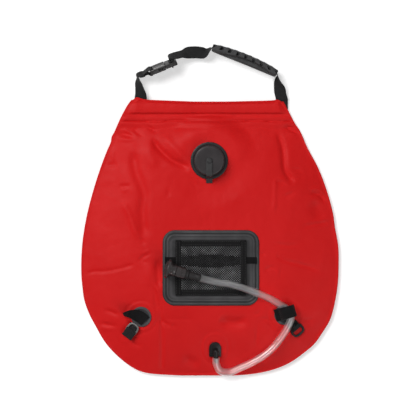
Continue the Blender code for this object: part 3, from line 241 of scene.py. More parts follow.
def weldedPatch():
    # thick coated patch with the fine grid of the welding plate; an attribute paints highlights on its ridges
    # and shade in its grooves and under the net into the base colour
    made = surface(
        "weldedPatch", (0.022, 0.021, 0.0225), 0.42, [(0.018, 0.0175, 0.0185), (0.030, 0.0295, 0.031)], 40,
        (crossed, 300, 0.00006), (cloud, 220.0, 2.0, 0.00015), rough=(110, 0.38, 0.55), Specular_IOR_Level=0.2,
    )
    tree = made.node_tree
    base = tree.nodes["Principled BSDF"].inputs["Base Color"]
    paintedLightShade = linkNode(tree, "ShaderNodeAttribute", attribute_name="paintedLightShade").outputs["Fac"]
    # below the middle the ramp darkens the colour (painted shade), above it lightens it (painted highlight)
    levels = ((0.0, 0.15), (0.45, 0.95), (0.55, 1.0), (1.0, 3.6))
    shade = ramped(tree, paintedLightShade, [(position, [level] * 3) for position, level in levels])
    parts = [(base.links[0].from_socket, 6), (shade, 7)]
    lightAndShade = linkNode(tree, "ShaderNodeMix", parts, data_type="RGBA", blend_type="MULTIPLY")
    lightAndShade.inputs[0].default_value = 1.0
    tree.links.new(lightAndShade.outputs[2], base)
    return made


def wovenWebbing(name, colour):
    # flat webbing: ribs in a herringbone, read from the piece's own map
    made, tree, shader = newFinish(name, colour, 0.75, Specular_IOR_Level=0.08, Sheen_Weight=0.02)
    left, right = [ripple(tree, threadPlace(tree, turn), 200, "X") for turn in (0.6, -0.6)]
    twill = combined(tree, left, right, "MAXIMUM")
    picks = ripple(tree, threadPlace(tree), 390, "Y")
    stops = [(0.1, [0.55 * c for c in colour]), (0.8, [1.6 * c for c in colour])]
    weave = ramped(tree, combined(tree, twill, picks, "MULTIPLY"), stops)
    tree.links.new(weave, shader.inputs["Base Color"])
    fuzz = cloud(tree, objectPlace(tree), 2600.0, 2.0)
    raiseBumps(tree, shader, (twill, 0.0002), (picks, 0.00012), (fuzz, 0.00006))
    return made


finish = {
    # base cloth under a satin film: a very fine weave shows through it
    "fabric": surface(
        "coatedRedFabric", (0.57, 0.010, 0.0105), 0.50, [(0.560, 0.0085, 0.0090), (0.590, 0.0110, 0.0115)], 14,
        (crossed, 560, 0.000035), (cloud, 130.0, 0.00025), rough=(60, 0.44, 0.56), Specular_IOR_Level=0.10,
    ),
    "moulding": blackMoulding(),
    "cap": blackMoulding("capMoulding", (0.024, 0.0205, 0.0215), 0.38),
    "glossy": blackMoulding("glossMoulding", (0.024, 0.0195, 0.020), 0.20, 0.32),
    # a lighter copy of the black moulding: painted highlight for the buckle's upper faces and the left D-ring
    "ring": blackMoulding("paintedHighlightMoulding", (0.115, 0.112, 0.110), 0.30, 0.5),
    "darkMoulding": blackMoulding("darkMoulding", (0.0105, 0.0095, 0.0098), 0.30, 0.12),
    "barb": blackMoulding("barbMoulding", (0.05, 0.047, 0.047), 0.12, 0.8),
    "rubber": surface(
        "softRubber", (0.015, 0.0145, 0.015), 0.62, [(0.015, 0.0145, 0.015), (0.021, 0.0203, 0.021)], 90,
        (cloud, 1100.0, 0.00006), rough=(300, 0.52, 0.72), Specular_IOR_Level=0.3,
    ),
    # dense foam: closed skin with fine pores
    "foam": surface(
        "gripFoam", (0.042, 0.042, 0.043), 0.70, [(0.036, 0.036, 0.037), (0.052, 0.052, 0.053)], 120,
        (pores, 900.0, 0.00012), (cloud, 260.0, 0.00015), Specular_IOR_Level=0.2,
    ),
    "patch": weldedPatch(),
    "webbing": wovenWebbing("wovenWebbing", (0.018, 0.018, 0.0185)),
    "binding": wovenWebbing("bindingTape", (0.0075, 0.0072, 0.0075)),
    "strap": wovenWebbing("pocketWebbing", (0.0045, 0.0042, 0.0045)),
    # yarns: the twist runs slantwise
    "net": surface(
        "knittedNet", (0.05, 0.05, 0.052), 0.6, [(0.030, 0.030, 0.031), (0.085, 0.085, 0.088)], 55,
        (ripple, 900, "DIAGONAL", 1.0, 0.00008), band=(0.4, 0.7), Specular_IOR_Level=0.4,
    ),
    # light knots on the dark net: painted highlights
    "knots": surface(
        "netKnotGlints", (0.5, 0.5, 0.51), 0.4, [(0.10, 0.10, 0.105), (0.50, 0.50, 0.51)], 48,
        (ripple, 900, "DIAGONAL", 1.0, 0.00005), band=(0.40, 0.66),
    ),
    "thread": surface(
        "sewingThread", (0.030, 0.030, 0.031), 0.6, [(0.022, 0.022, 0.023), (0.045, 0.045, 0.047)], 300,
        (ripple, 1500, "DIAGONAL", 0.00005),
    ),
    # clear plastic: the gloss sits in its coat, the wall under it is soft
    "tube": surface(
        "clearTubing", (0.97, 0.96, 0.97), 0.3, [(0.95, 0.94, 0.95), (0.98, 0.975, 0.98)], 70,
        rough=(180, 0.285, 0.32), Transmission_Weight=0.985, IOR=1.12, Sheen_Weight=0.06,
        Sheen_Roughness=0.25, Coat_Weight=1.0, Coat_Roughness=0.04,
    ),
}
print("finishes:", ", ".join(sorted(finish)))


# Shared shapes
def finishPiece(name, bm, material, body, sharp, outward=True):
    if outward:
        bmesh.ops.recalc_face_normals(bm, faces=bm.faces)
    mesh = bpy.data.meshes.new(name)
    bm.to_mesh(mesh)
    bm.free()
    mesh.shade_smooth()
    mesh.set_sharp_from_angle(angle=math.radians(sharp))
    mesh.materials.append(finish[material])
    made = bpy.data.objects.new(name, mesh)
    bpy.context.scene.collection.objects.link(made)
    if body:
        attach(made, body)
    return made


def standsFor(made, slot, *nodes):
    if nodes:
        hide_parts(*nodes)
    return made


def mouldedPiece(name, bm, matrix, material, body, sharp, *nodes):
    bmesh.ops.transform(bm, matrix=matrix, verts=bm.verts)
    return standsFor(finishPiece(name, bm, material, body, sharp), "black_plastic", *nodes)


def addWall(made, name, thickness):
    wall = made.modifiers.new(name, "SOLIDIFY")
    wall.thickness = thickness
    wall.offset = -1


def along(turn):
    return Vector((math.cos(math.radians(turn)), math.sin(math.radians(turn)), 0))


def smoothRoute(points, step):
    # one smooth curve through the points, at most a step apart
    knots = np.array([tuple(p) for p in points], float)
    knots = np.vstack([2 * knots[0] - knots[1], knots, 2 * knots[-1] - knots[-2]])
    runs = []
    for a, b, c, d in zip(knots, knots[1:], knots[2:], knots[3:]):
        parts = max(1, math.ceil(np.linalg.norm((c - b)[:3]) / step))
        t = np.linspace(0, 1, parts, endpoint=False)[:, None]
        bend = 2 * a - 5 * b + 4 * c - d
        runs.append((2 * b + (c - a) * t + bend * t**2 + (3 * b - a - 3 * c + d) * t**3) / 2)
    return np.vstack(runs + [knots[-2]])


def softStep(low, high, value):
    t = np.clip((np.asarray(value, float) - low) / (high - low), 0, 1)
    return t * t * (3 - 2 * t)


def swellAt(value, middle, width):
    return np.exp(-(((value - middle) / width) ** 2))


def wrapGrid(bm, around, stations, place, across, runs, ring=False):
    # a grid rolled up: columns run round the section, rows along the piece
    rows = stations - 1 + (1 if ring else 0)
    bmesh.ops.create_grid(bm, x_segments=around, y_segments=rows, size=1)
    mapLayer = bm.loops.layers.uv.new("threads")
    spots = {}
    for vertex in bm.verts:
        column = round((vertex.co.x + 1) / 2 * around)
        spots[vertex] = (column, round((vertex.co.y + 1) / 2 * rows))
    for face in bm.faces:
        for loop in face.loops:
            column, row = spots[loop.vert]
            loop[mapLayer].uv = (across[column % len(across)], runs[row])
    for vertex, (column, row) in spots.items():
        vertex.co = place(column % around, row % stations)
    bmesh.ops.remove_doubles(bm, verts=bm.verts, dist=1e-7)
    if not ring:
        bmesh.ops.holes_fill(bm, edges=[e for e in bm.edges if e.is_boundary], sides=0)


def runLengths(spots):
    runs = [0.0]
    for a, b in zip(spots, spots[1:]):
        runs.append(runs[-1] + (b - a).length)
    return runs


def flatSection(width, thickness):
    # a flat strip with rounded selvedges: across and out
    half, thick = width / 2, thickness / 2
    near = [(half, 0.35), (half - 0.5 * thick, 0.8), (half - 1.4 * thick, 1.0)]
    face = [(half - 1.4 * thick - (width - 2.8 * thick) * k / 4, 1.0) for k in range(1, 4)]
    top = near + face + [(-a, b) for a, b in near[::-1]]
    return [(a, b * thick) for a, b in top] + [(-a, -b * thick) for a, b in top]


def layStrip(name, route, width, thickness, material, step, body=None):
    # route: x, y, z of the middle, direction of the width in plan, and lean, in degrees
    line = smoothRoute(route, step)
    section = flatSection(width, thickness)
    middles = [Vector(row[:3]) for row in line]
    frames = []
    for k, row in enumerate(line):
        lean = math.radians(row[4])
        side = along(row[3]) * math.cos(lean) + up * math.sin(lean)
        ahead = middles[min(k + 1, len(middles) - 1)] - middles[max(k - 1, 0)]
        frames.append((side, side.cross(ahead).normalized()))

    def place(column, row):
        (a, b), (side, out) = section[column], frames[row]
        return middles[row] + side * a + out * b

    bm = bmesh.new()
    wrapGrid(bm, len(section), len(line), place, [a for a, b in section], runLengths(middles))
    return finishPiece(name, bm, material, body, 50)


def roundBar(name, spots, sizes, material, body, sides, ring=False, flat=1.0, face=up):
    # a round bar along points; flat squeezes it along the face direction
    count = len(spots)
    frames, side = [], None
    for k in range(count):
        if ring:
            ahead = spots[(k + 1) % count] - spots[k - 1]
        else:
            ahead = spots[min(k + 1, count - 1)] - spots[max(k - 1, 0)]
        ahead.normalize()
        if ring or side is None:
            side = face.cross(ahead)
        side = (side - ahead * side.dot(ahead)).normalized()
        frames.append((side, ahead.cross(side)))

    def place(column, row):
        angle = 2 * math.pi * column / sides
        side, out = frames[row]
        return spots[row] + (side * math.cos(angle) + out * math.sin(angle) * flat) * sizes[row]

    bm = bmesh.new()
    across = [2 * math.pi * sizes[0] * k / sides for k in range(sides + 1)]
    wrapGrid(bm, sides, count, place, across, runLengths(spots + spots[:1] * ring), ring)
    return finishPiece(name, bm, material, body, 40)


def spunShape(profile, steps, ring=False):
    # radius and height, turned once round Z
    bm = bmesh.new()
    points = [bm.verts.new((radius, 0, height)) for radius, height in profile]
    edges = [bm.edges.new(pair) for pair in zip(points, points[1:])]
    if ring:
        edges.append(bm.edges.new((points[-1], points[0])))
    bmesh.ops.spin(
        bm, geom=points + edges, axis=(0, 0, 1), cent=(0, 0, 0),
        steps=steps, angle=2 * math.pi, use_merge=True,
    )
    bmesh.ops.remove_doubles(bm, verts=bm.verts, dist=1e-6)
    bmesh.ops.recalc_face_normals(bm, faces=bm.faces)
    return bm


def softenEdges(bm, width, segments=2, angle=35):
    crisp = [
        edge
        for edge in bm.edges
        if len(edge.link_faces) == 2 and edge.calc_face_angle(0) > math.radians(angle)
    ]
    bmesh.ops.bevel(
        bm, geom=crisp, offset=width, offset_type="OFFSET", segments=segments,
        profile=0.5, affect="EDGES", clamp_overlap=True, material=-1,
    )


def raisedShape(corners, low, height, rounding, segments):
    # a flat outline drawn up, its crisp edges rounded
    bm = bmesh.new()
    face = bm.faces.new([bm.verts.new((x, y, low)) for x, y in corners])
    raised = bmesh.ops.extrude_face_region(bm, geom=[face])
    lifted = [g for g in raised["geom"] if isinstance(g, bmesh.types.BMVert)]
    bmesh.ops.translate(bm, vec=(0, 0, height), verts=lifted)
    bmesh.ops.recalc_face_normals(bm, faces=bm.faces)
    softenEdges(bm, rounding, segments, 50)
    return bm


def addShape(bm, part, turn=None):
    if turn is not None:
        bmesh.ops.transform(part, matrix=turn, verts=part.verts)
    mesh = bpy.data.meshes.new("shape")
    part.to_mesh(mesh)
    part.free()
    bm.from_mesh(mesh)
    bpy.data.meshes.remove(mesh)


def blockShape(low, high, rounding=0.0):
    bm = bmesh.new()
    bmesh.ops.create_cube(bm, size=1)
    low, high = Vector(low), Vector(high)
    for vertex in bm.verts:
        vertex.co = (low + high) / 2 + vertex.co * (high - low)
    if rounding:
        softenEdges(bm, rounding)
    return bm


def onAxis(place, direction):
    # a frame whose Z runs along a direction
    return Matrix.Translation(place) @ Vector(direction).to_track_quat("Z", "Y").to_matrix().to_4x4()


stitch = {"lengthShare": 0.36, "halfWidth": 0.00028, "halfHeight": 0.00024}


def sewStitches(name, lines, pitch):
    # small thread beads in rows: each line is a list of points on the cloth
    size = Matrix.Diagonal((pitch * stitch["lengthShare"], stitch["halfWidth"], stitch["halfHeight"], 1))
    bm = bmesh.new()
    for line in lines:
        for a, b in zip(line, line[1:]):
            count = max(1, round((b - a).length / pitch))
            ahead = (b - a).normalized()
            side = up.cross(ahead).normalized()
            turn = Matrix((ahead, side, ahead.cross(side))).transposed().to_4x4()
            for k in range(count):
                bead = bmesh.new()
                bmesh.ops.create_uvsphere(bead, u_segments=6, v_segments=4, radius=1)
                addShape(bm, bead, Matrix.Translation(a + (b - a) * (k + 0.5) / count) @ turn @ size)
    standsFor(finishPiece(name, bm, "thread", "bag", 80), "webbing")


# Bag shape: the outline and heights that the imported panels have
bag = {
    "wideHalf": 0.2095,
    "topHalf": 0.123,
    "topY": 0.177,
    "wideY": -0.099,
    "bottomY": -0.271,
    "bottomRun": 0.084 / 0.419,
    "bottomPower": 3.1,
    "seam": 0.005,
    "seamTop": 0.00715,
    "seamBack": 0.00485,
    "film": 0.00115,
    "rise": 0.022,
    "sleeveRise": 0.0033,
    "portZ": 0.02451,
    "portFlat": (0.046, 0.081),
}
# Where things sit on the bag, in plan
layout = {
    "port": (0.0, 0.0796),
    "pocket": (0.0026, -0.0952),
    "outlet": (0.0095, -0.228),
    "left": (-0.1111, -0.1752),
    "right": (0.1226, -0.1719),
    "leftTab": (-0.1353, -0.2083),
    "rightTab": (0.1429, -0.1960),
    "legs": (-0.1124, 0.1190),
}


def halfWidth(y):
    run = bag["bottomRun"] ** bag["bottomPower"]
    upper = (y - bag["wideY"]) / (bag["topY"] - bag["wideY"])
    lower = (bag["wideY"] - y) / (bag["wideY"] - bag["bottomY"])
    top = bag["wideHalf"] - (bag["wideHalf"] - bag["topHalf"]) * upper**2
    low = bag["wideHalf"] * np.maximum(run, 1 - (1 - run) * lower**2) ** (1 / bag["bottomPower"])
    return np.where(upper >= 0, top, low)


def waterFill(x, y):
    # 1 in the middle of the water chamber, 0 along its welded edge
    low, high = bag["bottomY"] + bag["seam"], bag["topY"] - 0.031
    across = np.minimum(1, np.abs(x) / (halfWidth(y) - bag["seam"]))
    lengthwise = np.minimum(1, np.abs(y - (high + low) / 2) / ((high - low) / 2))
    return (1 - across**3) * (1 - lengthwise**4)


def sleeveShare(x, y):
    side = halfWidth(y) - bag["seam"]
    flat = (0.1065 + side) / 2
    across = np.clip((side - np.abs(x)) / (side - flat), 0, 1)
    return across * np.clip((0.00885 - np.abs(y - 0.1655)) / 0.002, 0, 1)


def gapTo(x, y, name):
    return np.hypot(x - layout[name][0], y - layout[name][1])


def frontHeight(x, y):
    free = bag["seamTop"] + bag["rise"] * waterFill(x, y) + bag["sleeveRise"] * sleeveShare(x, y)
    return bag["portZ"] + (free - bag["portZ"]) * softStep(*bag["portFlat"], gapTo(x, y, "port"))


def backHeight(x, y):
    return bag["seamBack"] * np.maximum(0, 1 - waterFill(x, y) / 0.35) ** 2


def onBag(x, y, lift=0.0):
    return Vector((x, y, float(frontHeight(x, y)) + lift))


def bagOut(x, y, reach=0.008):
    level = onBag(x + reach, y) - onBag(x - reach, y)
    return level.cross(onBag(x, y + reach) - onBag(x, y - reach)).normalized()


def settled(route, width=0.020):
    # x, y, lift, turn, lean against the bag, made into a strip's route
    placed = []
    for x, y, lift, turn, lean in route:
        side = along(turn) * width / 2
        fall = onBag(x + side.x, y + side.y) - onBag(x - side.x, y - side.y)
        placed.append((*onBag(x, y, lift), turn, lean + math.degrees(math.asin(fall.z / fall.length))))
    return placed


def outletFrame():
    # its own y runs up the bag and its z out of the front
    out = bagOut(*layout["outlet"])
    across = Vector((0, 1, 0)).cross(out).normalized()
    turn = Matrix((across, out.cross(across), out)).transposed().to_4x4()
    return Matrix.Translation(onBag(*layout["outlet"])) @ turn


# Hose: from the outlet's barb round the bag to the shower head
hose = {
    "radius": 0.006,
    "wall": 0.0011,
    "barbLength": 0.0085,
    "headJoint": (-0.0141, -0.1116, 0.040956),
    "headAxis": (-0.954795, 0.282823, 0.091524),
    "route": [
        (0.0155, -0.2615, 0.0071), (0.0250, -0.2662, 0.0072), (0.0370, -0.2648, 0.0071),
        (0.0518, -0.2582, 0.0069), (0.0665, -0.2516, 0.0068), (0.0877, -0.2394, 0.0068),
        (0.1041, -0.2255, 0.0068), (0.1188, -0.2067, 0.0078), (0.1284, -0.1904, 0.0103),
        (0.1336, -0.1760, 0.0107), (0.1312, -0.1668, 0.0096), (0.1246, -0.1603, 0.0084),
        (0.1106, -0.1520, 0.0072), (0.1000, -0.1459, 0.0070), (0.0828, -0.1381, 0.0088),
        (0.0590, -0.1290, 0.0114), (0.0338, -0.1214, 0.0109), (0.0170, -0.1190, 0.0108),
    ],
    "step": 0.0011,
    "sides": 48,
}
outlet = outletFrame()
spoutMouth = outlet @ Vector((0.0015, -0.01225, 0.0072))
spoutAhead = (outlet.to_3x3() @ Vector((0, -1, 0))).normalized()
headJoint = Vector(hose["headJoint"])
headAxis = Vector(hose["headAxis"]).normalized()


def makeHose():
    knots = [spoutMouth + spoutAhead * 0.0003, spoutMouth + spoutAhead * hose["barbLength"]]
    knots += [onBag(x, y, lift) for x, y, lift in hose["route"]]
    knots += [headJoint - headAxis * 0.010, headJoint]
    line = [Vector(p) for p in smoothRoute(knots, hose["step"])]
    made = roundBar("clearHose", line, [hose["radius"]] * len(line), "tube", "bag", hose["sides"])
    bm = bmesh.new()
    bm.from_mesh(made.data)
    bmesh.ops.delete(bm, geom=[f for f in bm.faces if len(f.verts) > 4], context="FACES_ONLY")
    bm.to_mesh(made.data)
    bm.free()
    addWall(made, "wall", hose["wall"])
    length = runLengths(line)[-1]
    standsFor(made, "clear_hose", "hose")
    print("hose:", round(length, 4), "m")
    return [(p.x, p.y) for p in line[::12]]


hosePlan = makeHose()


# Bag skin: creases as (points in mm, width, depth, lean); welds as (height, radius, width)
skin = {
    "columns": 186,
    "backColumns": 90,
    "chamberStep": 0.0021,
    "hemStep": 0.0012,
    "swell": 0.00075,
    "ripple": 0.00028,
    "creaseGain": 3.0,
    "finestCrease": 2.9,
    "discWeld": [(0.0006, 0.0222, 0.0022), (-0.0006, 0.0262, 0.0025)],
    "outletWeld": [(0.0006, 0.0180, 0.0018), (-0.0005, 0.0225, 0.0022)],
    "portHole": 0.0225,
    "sidePull": 0.0035,
    "lowPull": 0.0010,
    "cornerPull": 0.0045,
    "legRise": 0.0018,
    "legHalf": 0.013,
    "backSlack": (0.0010, 0.0006),
    "spare": 0.0004,
    # the sheet is flat under what is welded to it: half sizes, and where the relief starts and is full
    "flatBoxes": {"pocket": (0.07875, 0.06145, -0.001, 0.006), "outlet": (0.00975, 0.01225, 0, 0.005)},
    "flatRounds": {"port": (0.0305, 0.0345), "right": (0.0165, 0.0200), "left": (0.0165, 0.0200)},
    "flatTabs": (0.010, 0.014),
    "hoseRoom": (0.005, 0.012),
    "creases": [
        ([(-94, 119), (-86, 104), (-74, 91), (-59, 79), (-42, 72), (-30, 66)], 5, -1.6, 0),
        ([(-76, 123), (-61, 104), (-45, 89), (-32, 81)], 6, 0.7, 0),
        ([(-30, 66), (-19, 54), (-9, 46)], 3, -0.7, 0),
        ([(-109, 141), (-95, 133), (-82, 124)], 2.5, -0.9, 0.4),
        ([(-144, 136), (-127, 124), (-108, 116)], 2.2, 0.6, 0),
        ([(-127, 138), (-119, 127), (-106, 118)], 2.5, -0.9, 0),
        ([(-152, 125), (-138, 123), (-120, 119)], 4, -1.2, 0),
        ([(-152, 116), (-138, 114), (-119, 114)], 2, 0.6, 0),
        ([(-169, 74), (-159, 72), (-150, 70)], 2, -0.8, 0), ([(-159, 79), (-150, 71)], 1.8, -0.5, 0),
        ([(-158, 102), (-158, 77)], 2, 0.4, 0), ([(-149, 39), (-134, 38), (-127, 41)], 2, -0.8, 0),
        ([(-147, 32), (-139, 31), (-131, 35)], 1.8, 0.4, 0),
        ([(-125, 97), (-120, 63), (-111, 40), (-106, 22), (-109, 0), (-106, -32), (-103, -47)], 8, -1.4, 0),
        ([(-103, 114), (-97, 87), (-87, 61)], 9, 0.8, 0),
        ([(-144, 16), (-131, -7), (-122, -32), (-113, -50)], 5, 0.8, 0),
        ([(-67, 36), (-66, 19)], 2.5, -0.5, 0), ([(-36, 54), (-25, 43), (-17, 32)], 2, -0.5, 0),
        ([(-30, 58), (-15, 42)], 2, 0.4, 0), ([(121, 138), (141, 128), (147, 126)], 3, -1.1, 0),
        ([(125, 124), (147, 122)], 2, 0.5, 0),
        ([(110, 127), (118, 112), (122, 93), (124, 68), (130, 55), (141, 43)], 5, -1.2, 0.5),
        ([(105, 51), (119, 49), (129, 42), (133, 36)], 2, 0.7, 0),
        ([(105, 46), (118, 44), (126, 38)], 2, -0.5, 0), ([(121, 19), (130, 24), (141, 27)], 2.2, -0.7, 0),
        ([(108, 55), (107, 16), (104, -7)], 3, 0.5, 0), ([(130, 66), (143, 65), (157, 61)], 2, -0.5, 0),
        ([(163, 27), (180, 24), (193, 8)], 4, -1.0, 0), ([(160, 34), (181, 32), (197, 16)], 3.5, 0.6, 0),
        ([(150, -29), (180, -23), (199, -20)], 2.2, -0.6, 0),
        ([(168, 16), (178, -4), (184, -20)], 12, -1.0, 0),
        ([(-112, -44), (-108, -54), (-102, -55)], 2, -0.7, 0),
        ([(-92, -69), (-102, -74), (-113, -83), (-120, -88)], 2, -1.0, 0.4),
        ([(-114, -83), (-100, -88)], 1.8, -0.7, 0), ([(-96, -65), (-108, -76)], 1.8, 0.5, 0),
        ([(-120, -90), (-145, -97), (-169, -102), (-191, -103), (-203, -109)], 3, -0.6, 0.5),
        ([(-97, -123), (-88, -134), (-86, -155), (-83, -170)], 2.2, -0.9, 0.3),
        ([(-92, -117), (-83, -135), (-80, -158)], 3, 0.6, 0),
        ([(-86, -79), (-83, -107), (-83, -131)], 5, -1.0, 0), ([(-100, -86), (-97, -123)], 8, 0.5, 0),
        ([(-175, -164), (-159, -168), (-145, -175)], 3, -0.9, 0),
        ([(-184, -189), (-173, -187), (-166, -189), (-148, -191)], 2.5, -0.9, 0),
        ([(-182, -194), (-166, -195), (-151, -197)], 2, 0.5, 0),
        ([(-84, -178), (-74, -184), (-61, -193)], 3, -1.0, 0), ([(-61, -193), (-54, -188)], 2, -0.6, 0),
        ([(-84, -178), (-56, -179), (-22, -180)], 2, -0.35, 0),
        ([(-80, -141), (-76, -212), (-77, -265)], 3.5, -0.6, 0.4),
        ([(-131, -212), (-120, -221), (-106, -221)], 2, -0.6, 0),
        ([(-45, -243), (-28, -249), (-15, -256)], 8, -0.8, 0), ([(83, -70), (93, -76)], 2, -0.7, 0),
        ([(109, -69), (116, -79), (127, -84), (144, -88), (162, -93), (180, -100)], 1.8, -0.9, 0.4),
        ([(100, -55), (127, -59), (148, -57)], 2.5, -0.5, 0),
        ([(88, -102), (100, -95), (109, -100)], 2.5, -0.7, 0),
        ([(81, -177), (95, -180), (105, -191), (116, -196)], 1.8, -0.8, 0),
        ([(70, -172), (81, -170), (84, -159)], 2, -0.5, 0), ([(14, -178), (37, -185), (65, -181)], 8, -1.6, 0),
        ([(79, -189), (79, -226)], 3, -0.4, 0.5), ([(151, -180), (173, -182)], 1.8, -0.6, 0),
        ([(156, -186), (171, -189)], 1.6, -0.4, 0), ([(112, -117), (116, -92)], 2.5, 0, 0.6),
    ],
    "leftEdge": [
        (-0.271, 0.003), (-0.262, 0.0035), (-0.244, 0.002), (-0.2227, 0.0), (-0.1944, -0.0025),
        (-0.173, -0.001), (-0.1483, 0.0003), (-0.1235, -0.0005), (-0.0614, 0.0), (-0.0172, -0.0004),
        (0.0319, -0.0008), (0.0709, 0.0), (0.0959, 0.0009), (0.11, 0.0012), (0.1193, 0.0041), (0.1263, 0.0037),
        (0.135, 0.0044), (0.1521, 0.0061), (0.1663, 0.0065), (0.1796, 0.0038), (0.19, 0.004),
    ],
    "rightEdge": [
        (-0.271, 0.0), (-0.2529, 0.001), (-0.2369, 0.0006), (-0.2209, 0.0033), (-0.2015, 0.003),
        (-0.1802, 0.0043), (-0.1518, 0.0024), (-0.1306, 0.0018), (-0.0969, 0.0018), (-0.0614, 0.003),
        (-0.0323, 0.0015), (-0.0172, 0.002), (-0.0057, 0.0025), (0.0381, 0.0015), (0.0693, 0.0),
        (0.1006, -0.0035), (0.1271, -0.0024), (0.1444, -0.0041), (0.1734, -0.002), (0.19, -0.002),
    ],
    "topEdge": [
        (-0.1252, 0.1796), (-0.1188, 0.1835), (-0.1079, 0.1804), (-0.0923, 0.1791), (-0.0407, 0.177),
        (0.0, 0.176), (0.0943, 0.178), (0.1114, 0.1796), (0.1177, 0.1765), (0.1232, 0.1734),
    ],
    "hem": [
        (0.115, 0.0), (0.125, -0.0008), (0.133, -0.0020), (0.140, 0.0006), (0.143, 0.0010), (0.1446, -0.0012),
        (0.1462, 0.0004), (0.148, 0.0012), (0.1511, 0.0012), (0.1528, -0.0004), (0.156, -0.0004), (0.161, 0.0),
        (0.1626, 0.0003), (0.169, 0.0003), (0.170, 0.0), (0.1735, 0.0), (0.1745, -0.0002), (0.177, 0.0012),
        (0.179, 0.0010),
    ],
}


def easedTable(points, at):
    table = smoothRoute([(a, b, 0) for a, b in points], 0.001)
    return np.interp(at, table[:, 0], table[:, 1])


def nearestOn(line, x, y):
    # distance, side and share of the way along the nearest stretch of a line in plan
    best = np.full(x.shape, 1e9)
    side, run = np.zeros(x.shape), np.zeros(x.shape)
    passed = 0.0
    for (ax, ay), (bx, by) in zip(line, line[1:]):
        dx, dy = bx - ax, by - ay
        size = math.hypot(dx, dy)
        t = np.clip(((x - ax) * dx + (y - ay) * dy) / size**2, 0, 1)
        gap = np.hypot(x - ax - t * dx, y - ay - t * dy)
        closer = gap < best
        best = np.where(closer, gap, best)
        turn = np.sign(dx * (y - ay) - dy * (x - ax))
        side = np.where(closer, turn, side)
        run = np.where(closer, passed + t * size, run)
        passed += size
    return best, side, run, passed


def boxGap(x, y, name, halfX, halfY):
    cx, cy = layout[name]
    return np.maximum(np.abs(x - cx) - halfX, np.abs(y - cy) - halfY)


def wander(x, y, scale, seed):
    return np.array(
        [noise.noise((a * scale, b * scale, seed)) for a, b in zip(x.ravel(), y.ravel())]
    ).reshape(x.shape)


def weldRings(gap, rings):
    return sum(height * swellAt(gap, radius, width) for height, radius, width in rings)


def skinRelief(x, y):
    # what the creases, welds and slack add to the bag's height
    relief = np.zeros(x.shape)
    for points, width, depth, lean in skin["creases"]:
        line = smoothRoute([(a / 1000, b / 1000, 0) for a, b in points], 0.006)[:, :2]
        wide = max(width, skin["finestCrease"]) / 1000
        gain = skin["creaseGain"] * (0.65 + 0.35 * softStep(1.5, 5.0, width))
        gap, side, run, total = nearestOn(line, x, y)
        fade = softStep(0, min(0.45 * total, 0.012 + wide), np.minimum(run, total - run) + 0.15 * wide)
        relief += gain * fade * swellAt(gap, 0, wide) * (depth + lean * side * gap / wide) / 1000
    cx, cy = layout["outlet"]
    relief += weldRings(np.hypot(x - cx, np.maximum(0, np.abs(y - cy - 0.002) - 0.004)), skin["outletWeld"])
    for side in ("right", "left"):
        relief += weldRings(gapTo(x, y, side), skin["discWeld"])
    relief += skin["swell"] * wander(x, y, 30, 3.1) + skin["ripple"] * wander(x, y, 95, 7.7)
    relief *= softStep(0, 0.006, halfWidth(y) - np.abs(x)) * 0.85 + 0.15

    for name, (halfX, halfY, *band) in skin["flatBoxes"].items():
        relief *= softStep(*band, boxGap(x, y, name, halfX, halfY))
    for name, band in skin["flatRounds"].items():
        relief *= softStep(*band, gapTo(x, y, name))
    for side in ("right", "left"):
        relief *= softStep(*skin["flatTabs"], nearestOn([layout[side], layout[f"{side}Tab"]], x, y)[0])
    # the hose lies on the sheet: little room is left below it
    spare = skin["spare"] + 0.01 * softStep(*skin["hoseRoom"], nearestOn(hosePlan, x, y)[0])
    return np.minimum(relief, spare)


def hemRelief(x, y):
    wave = 0.0011 * np.sin(x * 58 + 1) + 0.0007 * np.sin(x * 131)
    lower = np.clip((0.150 - y) / 0.012, 0, 1)
    points = np.array(skin["hem"])
    height = np.interp(y + wave * lower, points[:, 0], points[:, 1])
    return height * softStep(0, 0.008, halfWidth(y) - np.abs(x))


def skinRows():
    rows = list(np.arange(bag["topY"], 0.128, -skin["hemStep"]))
    rows += list(np.arange(rows[-1] - skin["chamberStep"], -0.205, -skin["chamberStep"]))
    deep = rows[-1] - bag["bottomY"] - bag["seam"]
    rows += [rows[-1] - deep * math.sin(math.pi / 2 * k / 38) for k in range(1, 39)]
    return np.array(rows + [bag["bottomY"] + 0.0032, bag["bottomY"] + 0.0012, bag["bottomY"]])


def panelPlan(count, rows):
    # plan of one panel: rest place of each column and row, and where its outline pulls it
    edge = np.array([0, 0.0012, 0.0028, 0.005])  # columns are closer along the welded edges
    half = halfWidth(rows)[:, None]
    middle = np.linspace(-1, 1, count - 2 * len(edge) + 1) * (half - 0.007)
    x = np.hstack([-half + edge, middle, half - edge[::-1]])
    y = np.repeat(rows[:, None], x.shape[1], axis=1)
    share = np.abs(x / half) ** 4
    extra = np.where(x < 0, -easedTable(skin["leftEdge"], y), easedTable(skin["rightEdge"], y))
    movedX = x * (1 + skin["sidePull"] * share) + extra * share
    corner = skin["cornerPull"] * swellAt(x, -0.112, 0.035) * softStep(-0.225, -0.262, y)
    return x, y, movedX, y - skin["lowPull"] * softStep(-0.20, -0.271, y) - corner


def gridPiece(name, x, y, z, material, body=None):
    rows, columns = x.shape
    bm = bmesh.new()
    bmesh.ops.create_grid(bm, x_segments=columns - 1, y_segments=rows - 1, size=1)
    for vertex in bm.verts:
        column = round((vertex.co.x + 1) / 2 * (columns - 1))
        row = round((1 - vertex.co.y) / 2 * (rows - 1))
        vertex.co = (x[row, column], y[row, column], z[row, column])
    return finishPiece(name, bm, material, body, 70, outward=False)


